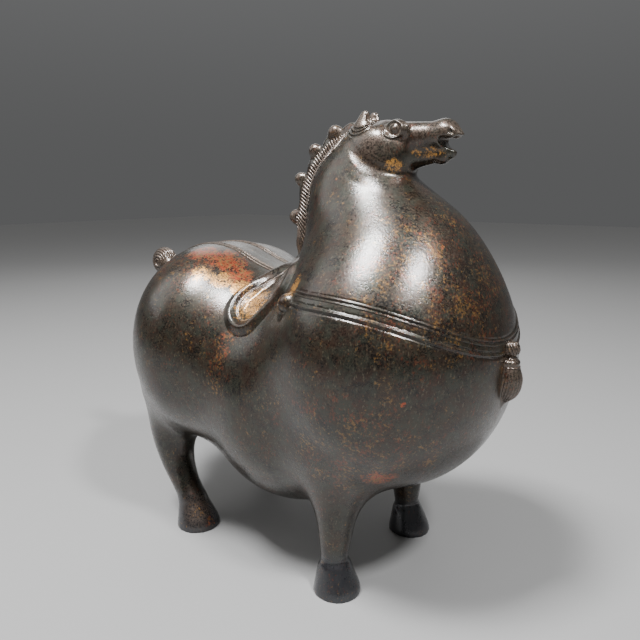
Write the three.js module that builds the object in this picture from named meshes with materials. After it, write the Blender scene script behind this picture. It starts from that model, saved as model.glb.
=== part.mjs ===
import * as THREE from "three";

// A bronze horse cast in one piece: a globe chest, a round belly and haunches, short legs,
// a small head on a swelling neck. Millimetres, nose toward +X, left side +Y, up +Z.
// Every form below is mirrored across the plane y = 0 unless it says otherwise.

// Trunk: five soft masses and the blends (mm) that melt them together.
const CHEST = { at: [72.9, 0, 141.5], radii: [69.8, 79.8, 80.6] };
const BELLY = { at: [6.7, 0, 106.7], radii: [68, 72.3, 76] };
const RUMP = { at: [-70.8, 0, 137.5], radii: [72, 56, 61.5] };
const HAUNCH = { at: [-61.1, 30.4, 129.6], radii: [49.3, 48.2, 62.6] };
const NECK = { from: [68.5, 0, 199], to: [47, 0, 230], r0: 36.5, r1: 32, flat: 0.85 };
const CREST = { from: [30, 0, 186], to: [50, 0, 255.5], r0: 15.5, r1: 11.5, flat: 0.8 };
const BLEND = { haunch: 20, rump: 26, chest: 24, neck: 36, crest: 18, leg: 20, head: 7 };

// Legs: stations from the body down, [x, y, z, radius].
const FORE_LEG = [[60, 35, 88, 24], [60, 39.5, 64, 16], [60, 41.5, 48, 12.2],
  [59.9, 42.6, 34, 9.9], [59.8, 43.2, 22, 8.2]];
const HIND_LEG = [[-90, 35, 92, 20], [-90.5, 38.8, 68, 16.6], [-84.3, 41.8, 46, 12.2],
  [-75.6, 42.8, 30, 9.7], [-68, 43.3, 20, 9.4]];
const FORE_HOOF = { from: [60.6, 43.5, 13], to: [62.3, 43.7, 0], r0: 10.6, r1: 14.3, blend: 1.6 };
const HIND_HOOF = { from: [-66.4, 43.4, 15], to: [-61.6, 43.6, 0], r0: 10.4, r1: 15, blend: 3 };
const LEG_STEPS = 3;

// Head: skull, snout with a hooked upper lip, round cheek, short open jaw.
const SKULL = { at: [57, 0, 258], radii: [20, 15, 14.5] };
const SNOUT = { from: [66, 0, 263], to: [98, 0, 264.5], r0: 10.5, r1: 7.2, flat: 0.95 };
const LIP = { from: [101, 0, 265.4], to: [107.2, 0, 262.2], r0: 7.5, r1: 4.6, flat: 0.85 };
const CHEEK = { at: [64, 8, 254], radii: [17, 10, 15], tilt: 20 };
const JAW = { from: [72, 0, 252.5], to: [104, 0, 254.6], r0: 7, r1: 2.6, flat: 0.95 };
const CHIN = { at: [99, 0, 252.5], radii: [4, 3.6, 3.2] };
const MOUTH = { at: [113.5, 0, 258.3], radii: [15.2, 20, 3.4], tilt: -12 };
const NOSTRIL = { at: [99, 4.6, 266.5], radii: [4.6, 3, 3.6], tilt: -25 };
const NOSTRIL_HOLE = { at: [103, 7.4, 264], radii: [2.6, 1.5, 1.2], tilt: -40 };
const EYELID = { at: [76.2, 9.2, 268], radii: [7.4, 3.9, 5.8] };
const EYE_RING = { at: [76.2, 268.2], radii: [6, 4.6], halfWidth: 1.3, height: 0.85, fromY: 6 };
const EYE_HOLLOW = { inset: 0.65, width: 1.3, depth: 0.7 };
const EYEBALL = { at: [76.4, 10.6, 268.2], radii: [3.1, 3.2, 2.9] };
const EAR = { from: [51, 5.6, 265.5], to: [52, 4.9, 277.2], r0: 8.6, r1: 2.9, flat: 0.72 };
const EAR_HOLLOW = { at: [56.6, 6.2, 275.3], radii: [3.4, 2.2, 5.2], tilt: 16 };
const HEAD_BLEND = { snout: 8, lip: 4, cheek: 5, jaw: 5, chin: 2, mouth: 1.5, nostril: 2.5, nostrilHole: 1,
  eyelid: 2, eyeball: 0.6, earHollow: 1, ear: 2.5 };

// Mane: a thin ridge along the back of the neck, [x, z], with rounded locks on its edge. Its sections lie
// inside that edge: MANE_INSET is how far forward, and how far down at their lower and upper ends.
const MANE_EDGE = [[0, 188], [-2, 204], [-2, 220], [1, 236], [8, 251], [20, 263], [34, 269], [46, 271]];
const MANE_HALF_WIDTH = 6.5;
const MANE_FLAT = 0.45;
const MANE_INSET = [6, -1, -3];
const LOCKS = [[27.3, 270], [11.9, 259.8], [0.4, 242.7], [-4.4, 218.8]];
const LOCK_RADII = [4.1, 3.6, 4.1];
const MANE_BLEND = { ridge: 2, lock: 3, neck: 2 };

// Tail: a coiled knot on a short root, grooved as a spiral on both flat sides.
const TAIL_KNOT = { at: [-139.5, 0, 180.5], radii: [11.2, 8.5, 11.2] };
const TAIL_ROOT = { from: [-118, 0, 170], to: [-133, 0, 177], r0: 9, r1: 7 };
const TAIL_GROOVE = { pitch: 4.4, depth: 0.7 };
const TAIL_BLEND = { root: 4, rump: 2.5 };

// Breast collar: a band whose upper edge drops toward the front of the chest.
const COLLAR = { top: 183, startX: 62, span: 80, drop: 25, power: 2.5, width: 6.2, backX: 45, fade: 3 };
const COLLAR_BAND = 0.6;
const COLLAR_RIB = { halfWidth: 1.9, height: 1.1 };
const COLLAR_LUMP = { at: [41, -60.5, 175], radii: [6.5, 5, 6], tilt: 30 };
const COLLAR_CURL = { at: [38, -59.5, 168.5], radii: [4, 4, 4.2] };
const COLLAR_END_BLEND = 2;

// Tassel below the middle of the collar.
const TASSEL_BUD = { at: [144, 0, 153.5], radii: [4.2, 3.8, 4.6] };
const TASSEL_RING = { at: [143.8, 0, 146.2], radii: [5.2, 5.6, 2.8] };
const TASSEL_BODY = { at: [143.4, 0, 137], radii: [7.4, 7.2, 11] };
const TASSEL_TIP = { from: [142, 0, 132], to: [139, 0, 121.5], r0: 6.2, r1: 1.6 };
const TASSEL_BLEND = { ring: 2, tip: 3, body: 2, chest: 1.5 };

// Saddle: seen from the side, each flap is a slanted stadium from the flank up over the withers,
// low and high being the centres [x, z] of its round ends. It fades out where the neck rises.
const FLAP = { low: [0, 170], high: [17, 189], radius: 16, height: 0.9, edge: 1.6 };
const FLAP_RIM = { inset: 2.2, halfWidth: 3.4, height: 3 };
const FLAP_DISH = { inset: 5, width: 4, depth: 1.5, topZ: 186, fade: 8 };
const FLAP_END = { z: 199, fade: 8 };

// Crupper straps: one each side of the spine, from the saddle to the tail.
const STRAP = { offset: 11.5, gather: 6.5, gatherFrom: 55, gatherOver: 70, halfWidth: 2.6, height: 0.9 };
const STRAP_ENDS = { front: -6, back: -128, fade: 4, aboveZ: 150 };

// How far each small form can reach, so that it is worked out only there.
const REACH = {
  legs: { top: 125 },
  collar: { bottom: 110, top: 215, back: 20 },
  saddle: { bottom: 130, top: 220, front: 60, skin: 8 },
  head: { bottom: 220 },
  mane: { bottom: 160, back: -40, front: 80 },
  tail: { bottom: 135, front: -90 },
};

// Mesh: sampling step (mm), cells in a block, the space sampled, the number of faces of the finished
// solid, the distance standing for out of reach, the steps over which slopes are measured, and the
// height below which a vertex is laid flat on the ground.
const CELL = 1.25;
const BLOCK = 6;
const GRID_FROM = [-156, -88, -6];
const GRID_TO = [156, 88, 286];
const FACES = 9400;
const FAR = 1000;
const SLOPE_STEP = 0.05;
const TRUNK_STEP = 0.2;
const FLOOR_SNAP = 0.5;

const rad = (deg) => (deg * Math.PI) / 180;

function smin(a, b, k) {
  const h = Math.max(k - Math.abs(a - b), 0) / k;
  return Math.min(a, b) - h * h * k * 0.25;
}

function smax(a, b, k) {
  return -smin(-a, -b, k);
}

// Distance to an ellipsoid; tilt turns it about Y, nose up.
function ellipsoid({ at, radii, tilt = 0 }) {
  const c = Math.cos(rad(tilt));
  const s = Math.sin(rad(tilt));
  const [rx, ry, rz] = radii;
  return (x, y, z) => {
    const dx = x - at[0];
    const dy = y - at[1];
    const dz = z - at[2];
    const u = dx * c + dz * s;
    const w = -dx * s + dz * c;
    const k0 = Math.hypot(u / rx, dy / ry, w / rz);
    const k1 = Math.hypot(u / (rx * rx), dy / (ry * ry), w / (rz * rz));
    return (k0 * (k0 - 1)) / Math.max(k1, 1e-9);
  };
}

// Distance to the hull of two spheres; flat thins the form across Y.
function roundCone({ from, to, r0, r1, flat = 1 }) {
  const ay = from[1] / flat;
  const bx = to[0] - from[0];
  const by = to[1] / flat - ay;
  const bz = to[2] - from[2];
  const l2 = bx * bx + by * by + bz * bz;
  const rr = r0 - r1;
  const a2 = l2 - rr * rr;
  const il2 = 1 / l2;
  const sign = Math.sign(rr) * rr * rr;
  return (x, y, z) => {
    const px = x - from[0];
    const py = y / flat - ay;
    const pz = z - from[2];
    const along = px * bx + py * by + pz * bz;
    const past = along - l2;
    const qx = px * l2 - bx * along;
    const qy = py * l2 - by * along;
    const qz = pz * l2 - bz * along;
    const x2 = qx * qx + qy * qy + qz * qz;
    const y2 = along * along * l2;
    const z2 = past * past * l2;
    const k = sign * x2;
    let d = 0;
    if (Math.sign(past) * a2 * z2 > k) {
      d = Math.sqrt(x2 + z2) * il2 - r1;
    } else if (Math.sign(along) * a2 * y2 < k) {
      d = Math.sqrt(x2 + y2) * il2 - r0;
    } else {
      d = (Math.sqrt(Math.max(x2 * a2 * il2, 0)) + along * rr) * il2 - r0;
    }
    return d * Math.min(1, flat);
  };
}

// Smooth curve through the stations, each span split into the given number of steps.
function throughStations(stations, steps) {
  const n = stations.length;
  const mixEnd = (a, b) => a.map((v, i) => 2 * v - b[i]);
  const p = [mixEnd(stations[0], stations[1]), ...stations, mixEnd(stations[n - 1], stations[n - 2])];
  const out = [];
  for (let i = 1; i < n; i += 1) {
    for (let j = 0; j < steps; j += 1) {
      const u = j / steps;
      out.push(p[i].map((v, k) => 0.5 * (2 * v + (p[i + 1][k] - p[i - 1][k]) * u
        + (2 * p[i - 1][k] - 5 * v + 4 * p[i + 1][k] - p[i + 2][k]) * u * u
        + (-p[i - 1][k] + 3 * v - 3 * p[i + 1][k] + p[i + 2][k]) * u * u * u)));
    }
  }
  out.push(stations[n - 1]);
  return out;
}

function limb(stations, hoof) {
  const points = throughStations(stations, LEG_STEPS);
  const parts = [];
  for (let i = 1; i < points.length; i += 1) {
    const [a, b] = [points[i - 1], points[i]];
    parts.push(roundCone({ from: a.slice(0, 3), to: b.slice(0, 3), r0: a[3], r1: b[3] }));
  }
  const foot = roundCone(hoof);
  return (x, y, z) => smin(Math.min(...parts.map((f) => f(x, y, z))), foot(x, y, z), hoof.blend);
}

const chest = ellipsoid(CHEST);
const belly = ellipsoid(BELLY);
const rump = ellipsoid(RUMP);
const haunch = ellipsoid(HAUNCH);
const neck = roundCone(NECK);
const crest = roundCone(CREST);

// The smooth body without legs, head or harness.
function trunk(x, y, z) {
  const m = Math.abs(y);
  let d = smin(belly(x, m, z), smin(rump(x, m, z), haunch(x, m, z), BLEND.haunch), BLEND.rump);
  d = smin(d, chest(x, m, z), BLEND.chest);
  d = smin(d, neck(x, m, z), BLEND.neck);
  return smin(d, crest(x, m, z), BLEND.crest);
}

const foreLeg = limb(FORE_LEG, FORE_HOOF);
const hindLeg = limb(HIND_LEG, HIND_HOOF);

// Smooth rise from 0 to 1 as v goes from 0 to 1.
function ease(v) {
  const u = Math.min(Math.max(v, 0), 1);
  return u * u * (3 - 2 * u);
}

// Rounded rib of the given half width and height, v away from its middle line.
function rib(v, { halfWidth, height }) {
  const u = 1 - (v * v) / (halfWidth * halfWidth);
  return u > 0 ? height * u * u : 0;
}

const skull = ellipsoid(SKULL);
const snout = roundCone(SNOUT);
const lip = roundCone(LIP);
const cheek = ellipsoid(CHEEK);
const jaw = roundCone(JAW);
const chin = ellipsoid(CHIN);
const mouth = ellipsoid(MOUTH);
const nostril = ellipsoid(NOSTRIL);
const nostrilHole = ellipsoid(NOSTRIL_HOLE);
const eyelid = ellipsoid(EYELID);
const eyeball = ellipsoid(EYEBALL);

// Raised ring round the eye, and the hollow inside it, in the side view.
function eyeRelief(x, z) {
  const [rx, rz] = EYE_RING.radii;
  const off = (Math.hypot((x - EYE_RING.at[0]) / rx, (z - EYE_RING.at[1]) / rz) - 1) * Math.sqrt(rx * rz);
  return rib(off, EYE_RING) - EYE_HOLLOW.depth * ease((-off - EYE_HOLLOW.inset) / EYE_HOLLOW.width);
}

function head(x, m, z) {
  let d = smin(skull(x, m, z), snout(x, m, z), HEAD_BLEND.snout);
  d = smin(d, lip(x, m, z), HEAD_BLEND.lip);
  d = smin(d, cheek(x, m, z), HEAD_BLEND.cheek);
  d = smin(d, smin(jaw(x, m, z), chin(x, m, z), HEAD_BLEND.chin), HEAD_BLEND.jaw);
  d = smax(d, -mouth(x, m, z), HEAD_BLEND.mouth);
  d = smax(smin(d, nostril(x, m, z), HEAD_BLEND.nostril), -nostrilHole(x, m, z), HEAD_BLEND.nostrilHole);
  d = smin(d, eyelid(x, m, z), HEAD_BLEND.eyelid);
  if (m > EYE_RING.fromY) {
    d -= eyeRelief(x, z);
  }
  return smin(d, eyeball(x, m, z), HEAD_BLEND.eyeball);
}

const earCone = roundCone(EAR);
const earHollow = ellipsoid(EAR_HOLLOW);

const maneParts = MANE_EDGE.slice(1).map(([x, z], i) => roundCone({
  from: [MANE_EDGE[i][0] + MANE_INSET[0], 0, MANE_EDGE[i][1] + MANE_INSET[1]],
  to: [x + MANE_INSET[0], 0, z + MANE_INSET[2]],
  r0: MANE_HALF_WIDTH,
  r1: MANE_HALF_WIDTH,
  flat: MANE_FLAT,
}));
const lockParts = LOCKS.map(([x, z]) => ellipsoid({ at: [x, 0, z], radii: LOCK_RADII }));

function mane(x, y, z) {
  let d = Infinity;
  for (const part of maneParts) {
    d = d === Infinity ? part(x, y, z) : smin(d, part(x, y, z), MANE_BLEND.ridge);
  }
  for (const part of lockParts) {
    d = smin(d, part(x, y, z), MANE_BLEND.lock);
  }
  return d;
}

const knot = ellipsoid(TAIL_KNOT);
const tailRoot = roundCone(TAIL_ROOT);

// The knot's groove winds outward from its middle like a rolled-up rope.
function tail(x, y, z) {
  const dx = x - TAIL_KNOT.at[0];
  const dz = z - TAIL_KNOT.at[2];
  const turn = Math.atan2(dz, dx) / (2 * Math.PI);
  const phase = (Math.hypot(dx, dz) / TAIL_GROOVE.pitch - turn) * 2 * Math.PI;
  const coil = knot(x, y, z) + TAIL_GROOVE.depth * (0.5 - 0.5 * Math.cos(phase));
  return smin(coil, tailRoot(x, y, z), TAIL_BLEND.root);
}

// How far the collar stands proud of the skin: two ribs and a slightly raised band.
function collarRelief(x, z) {
  const run = Math.max((x - COLLAR.startX) / COLLAR.span, 0);
  const edge = z - (COLLAR.top - COLLAR.drop * run ** COLLAR.power);
  const ribs = Math.max(rib(edge, COLLAR_RIB), rib(edge + COLLAR.width, COLLAR_RIB));
  const band = edge < 0 && edge > -COLLAR.width ? COLLAR_BAND : 0;
  return Math.max(ribs, band) * ease((x - COLLAR.backX) / COLLAR.fade);
}

const lump = ellipsoid(COLLAR_LUMP);
const curl = ellipsoid(COLLAR_CURL);
const bud = ellipsoid(TASSEL_BUD);
const ring = ellipsoid(TASSEL_RING);
const tasselBody = ellipsoid(TASSEL_BODY);
const tasselTip = roundCone(TASSEL_TIP);

function tassel(x, y, z) {
  const upper = smin(bud(x, y, z), ring(x, y, z), TASSEL_BLEND.ring);
  return smin(upper, smin(tasselBody(x, y, z), tasselTip(x, y, z), TASSEL_BLEND.tip), TASSEL_BLEND.body);
}

// Distance inside (negative) or outside the flap's outline in the side view.
function flapOutline(x, z) {
  const [runX, runZ] = [FLAP.high[0] - FLAP.low[0], FLAP.high[1] - FLAP.low[1]];
  const [dx, dz] = [x - FLAP.low[0], z - FLAP.low[1]];
  const along = Math.min(Math.max((dx * runX + dz * runZ) / (runX * runX + runZ * runZ), 0), 1);
  return Math.hypot(dx - runX * along, dz - runZ * along) - FLAP.radius;
}

// How far the saddle stands proud of the skin: rim, thin flap, hollow in the flap's lower half.
function saddleRelief(x, z) {
  const outline = flapOutline(x, z);
  const rim = rib(outline + FLAP_RIM.inset, FLAP_RIM);
  const inDish = ease((-outline - FLAP_DISH.inset) / FLAP_DISH.width);
  const belowDishTop = ease((FLAP_DISH.topZ - z) / FLAP_DISH.fade);
  const flap = FLAP.height * ease(-outline / FLAP.edge) - FLAP_DISH.depth * inDish * belowDishTop;
  return (rim > 0 ? Math.max(rim, flap) : flap) * ease((FLAP_END.z - z) / FLAP_END.fade);
}

// How far the crupper straps stand proud of the skin.
function strapRelief(x, m, z) {
  const line = STRAP.offset - STRAP.gather * ease((-x - STRAP.gatherFrom) / STRAP.gatherOver);
  const ends = ease((STRAP_ENDS.front - x) / STRAP_ENDS.fade) * ease((x - STRAP_ENDS.back) / STRAP_ENDS.fade);
  return z > STRAP_ENDS.aboveZ ? rib(m - line, STRAP) * ends : 0;
}

// The point of the bare trunk straight below a point near its skin.
function skinBelow(x, y, z, height) {
  const e = TRUNK_STEP;
  const gx = (trunk(x + e, y, z) - height) / e;
  const gy = (trunk(x, y + e, z) - height) / e;
  const gz = (trunk(x, y, z + e) - height) / e;
  const k = height / Math.max(gx * gx + gy * gy + gz * gz, 0.3);
  return [x - gx * k, Math.abs(y - gy * k), z - gz * k];
}

// The whole casting above the ground, built up from the trunk; small forms only near their place.
function horse(x, y, z) {
  const m = Math.abs(y);
  const height = trunk(x, y, z);
  let d = height;
  if (z < REACH.legs.top) {
    d = smin(d, Math.min(foreLeg(x, m, z), hindLeg(x, m, z)), BLEND.leg);
  }
  if (z > REACH.collar.bottom && z < REACH.collar.top && x > REACH.collar.back) {
    d -= collarRelief(x, z);
    d = smin(d, smin(lump(x, -m, z), curl(x, -m, z), COLLAR_END_BLEND), COLLAR_END_BLEND);
    d = smin(d, tassel(x, m, z), TASSEL_BLEND.chest);
  }
  const byTheSaddle = z > REACH.saddle.bottom && z < REACH.saddle.top && x < REACH.saddle.front;
  if (byTheSaddle && Math.abs(height) < REACH.saddle.skin) {
    const skin = skinBelow(x, y, z, height);
    d -= strapRelief(...skin) + saddleRelief(skin[0], skin[2]);
  }
  if (z > REACH.head.bottom) {
    d = smin(d, head(x, m, z), BLEND.head);
    d = smin(d, smax(earCone(x, m, z), -earHollow(x, m, z), HEAD_BLEND.earHollow), HEAD_BLEND.ear);
  }
  if (z > REACH.mane.bottom && x < REACH.mane.front && x > REACH.mane.back) {
    d = smin(d, mane(x, y, z), MANE_BLEND.neck);
  }
  if (x < REACH.tail.front && z > REACH.tail.bottom) {
    d = smin(d, tail(x, y, z), TAIL_BLEND.rump);
  }
  return Math.max(d, -z);
}

// The twelve edges of a grid cell are numbered axis * 4 + side, side telling the two other offsets.
const edgeOf = (axis, offset) => axis * 4 + offset[(axis + 1) % 3] + 2 * offset[(axis + 2) % 3];

// Each side of a cell: its four corners in a ring and the edge after each corner.
const SIDES = [0, 1, 2].flatMap((normal) => [0, 1].map((side) => {
  const [u, v] = [(normal + 1) % 3, (normal + 2) % 3];
  const corners = [[0, 0], [1, 0], [1, 1], [0, 1]].map(([a, b]) => {
    const corner = [0, 0, 0];
    corner[normal] = side;
    corner[u] = a;
    corner[v] = b;
    return corner;
  });
  const low = (a, b) => a.map((value, i) => Math.min(value, b[i]));
  const edges = corners.map((c, i) => edgeOf(i % 2 === 0 ? u : v, low(c, corners[(i + 1) % 4])));
  return { corners, edges };
}));

// Groups the crossed edges of a cell into sheets, so that two sheets never share a vertex.
function sheetsOf(crossed, insideAt) {
  const sheet = crossed.map((hit, i) => (hit ? i : -1));
  const join = (a, b) => {
    const [keep, drop] = [sheet[a], sheet[b]];
    sheet.forEach((value, i) => {
      sheet[i] = value === drop ? keep : value;
    });
  };
  for (const { corners, edges } of SIDES) {
    const hits = edges.filter((e) => crossed[e]);
    if (hits.length === 2) {
      join(hits[0], hits[1]);
    } else if (hits.length === 4) {
      corners.forEach((corner, i) => {
        if (insideAt(corner)) {
          join(edges[(i + 3) % 4], edges[i]);
        }
      });
    }
  }
  return sheet;
}

// Samples the distance near the surface and places one vertex for every sheet in a cell.
function surfaceNet(field) {
  const blocks = GRID_FROM.map((v, i) => Math.ceil((GRID_TO[i] - v) / (CELL * BLOCK)));
  const n = blocks.map((b) => b * BLOCK + 1);
  const at = (i, j, k) => (i * n[1] + j) * n[2] + k;
  const values = new Float32Array(n[0] * n[1] * n[2]).fill(FAR);
  const reach = CELL * BLOCK * 1.1 + 2;
  const half = (CELL * BLOCK) / 2;
  for (let a = 0; a < blocks[0]; a += 1) {
    for (let b = 0; b < blocks[1]; b += 1) {
      for (let c = 0; c < blocks[2]; c += 1) {
        const x = GRID_FROM[0] + a * BLOCK * CELL;
        const y = GRID_FROM[1] + b * BLOCK * CELL;
        const z = GRID_FROM[2] + c * BLOCK * CELL;
        const middle = field(x + half, y + half, z + half);
        const near = Math.abs(middle) < reach;
        const last = near ? BLOCK : BLOCK - 1;
        for (let i = 0; i <= last; i += 1) {
          for (let j = 0; j <= last; j += 1) {
            for (let k = 0; k <= last; k += 1) {
              const q = at(a * BLOCK + i, b * BLOCK + j, c * BLOCK + k);
              const fresh = Math.abs(values[q]) === FAR;
              if (near && fresh) {
                values[q] = field(x + i * CELL, y + j * CELL, z + k * CELL);
              } else if (fresh && middle < 0) {
                values[q] = -FAR;
              }
            }
          }
        }
      }
    }
  }
  const ids = new Int32Array(values.length).fill(-1);
  const points = [];
  const vertexOf = [];
  const step = [n[1] * n[2], n[2], 1];
  for (let i = 0; i < n[0] - 1; i += 1) {
    for (let j = 0; j < n[1] - 1; j += 1) {
      for (let k = 0; k < n[2] - 1; k += 1) {
        const base = at(i, j, k);
        let inside = 0;
        for (let corner = 0; corner < 8; corner += 1) {
          const q = base + (corner & 1) * step[0] + ((corner >> 1) & 1) * step[1] + (corner >> 2);
          inside += values[q] < 0 ? 1 : 0;
        }
        if (inside === 0 || inside === 8) {
          continue;
        }
        const crossed = new Array(12).fill(false);
        const where = [];
        for (let axis = 0; axis < 3; axis += 1) {
          for (let side = 0; side < 4; side += 1) {
            const e = [0, 0, 0];
            e[(axis + 1) % 3] = side & 1;
            e[(axis + 2) % 3] = side >> 1;
            const q = base + e[0] * step[0] + e[1] * step[1] + e[2];
            const v0 = values[q];
            const v1 = values[q + step[axis]];
            crossed[axis * 4 + side] = v0 < 0 !== v1 < 0;
            e[axis] = v0 / (v0 - v1);
            where.push(e);
          }
        }
        const insideAt = (c) => values[base + c[0] * step[0] + c[1] * step[1] + c[2]] < 0;
        const sheet = sheetsOf(crossed, insideAt);
        ids[base] = vertexOf.length / 12;
        const made = new Map();
        for (let e = 0; e < 12; e += 1) {
          if (sheet[e] >= 0 && !made.has(sheet[e])) {
            const own = where.filter((_, other) => sheet[other] === sheet[e]);
            const mean = [0, 1, 2].map((axis) => own.reduce((sum, p) => sum + p[axis], 0) / own.length);
            made.set(sheet[e], points.length / 3);
            points.push(GRID_FROM[0] + (i + mean[0]) * CELL);
            points.push(GRID_FROM[1] + (j + mean[1]) * CELL);
            points.push(GRID_FROM[2] + (k + mean[2]) * CELL);
          }
          vertexOf.push(sheet[e] >= 0 ? made.get(sheet[e]) : -1);
        }
      }
    }
  }
  const faces = [];
  for (let i = 1; i < n[0] - 1; i += 1) {
    for (let j = 1; j < n[1] - 1; j += 1) {
      for (let k = 1; k < n[2] - 1; k += 1) {
        const base = at(i, j, k);
        const here = values[base] < 0;
        for (let axis = 0; axis < 3; axis += 1) {
          if (here === values[base + step[axis]] < 0) {
            continue;
          }
          const s1 = step[(axis + 1) % 3];
          const s2 = step[(axis + 2) % 3];
          const quad = [[1, 1], [0, 1], [0, 0], [1, 0]].map(([a, b]) => {
            const cell = ids[base - a * s1 - b * s2];
            return vertexOf[cell * 12 + axis * 4 + a + 2 * b];
          });
          if (!here) {
            quad.reverse();
          }
          faces.push(quad[0], quad[1], quad[2], quad[0], quad[2], quad[3]);
        }
      }
    }
  }
  return { points: Float64Array.from(points), faces: Int32Array.from(faces) };
}

// Moves every vertex along the slope of the distance until it lies on the surface.
function settle(points, field, rounds) {
  const e = SLOPE_STEP;
  for (let v = 0; v < points.length; v += 3) {
    for (let round = 0; round < rounds; round += 1) {
      const [x, y, z] = [points[v], points[v + 1], points[v + 2]];
      const gx = (field(x + e, y, z) - field(x - e, y, z)) / (2 * e);
      const gy = (field(x, y + e, z) - field(x, y - e, z)) / (2 * e);
      const gz = (field(x, y, z + e) - field(x, y, z - e)) / (2 * e);
      const size = gx * gx + gy * gy + gz * gz;
      const move = field(x, y, z) / Math.max(size, 0.3);
      const capped = Math.max(Math.min(move, CELL * 0.4), -CELL * 0.4);
      points[v] -= gx * capped;
      points[v + 1] -= gy * capped;
      points[v + 2] -= gz * capped;
    }
    if (points[v + 2] < FLOOR_SNAP) {
      points[v + 2] = 0;
    }
  }
}

// A heap of candidate edges, cheapest first.
class EdgeHeap {
  constructor() {
    this.items = [];
  }

  push(item) {
    const list = this.items;
    list.push(item);
    let i = list.length - 1;
    while (i > 0) {
      const up = (i - 1) >> 1;
      if (list[up].cost <= item.cost) {
        break;
      }
      list[i] = list[up];
      i = up;
    }
    list[i] = item;
  }

  pop() {
    const list = this.items;
    const top = list[0];
    const item = list.pop();
    const n = list.length;
    if (n > 0) {
      let i = 0;
      for (;;) {
        let child = 2 * i + 1;
        if (child >= n) {
          break;
        }
        if (child + 1 < n && list[child + 1].cost < list[child].cost) {
          child += 1;
        }
        if (list[child].cost >= item.cost) {
          break;
        }
        list[i] = list[child];
        i = child;
      }
      list[i] = item;
    }
    return top;
  }
}

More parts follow.
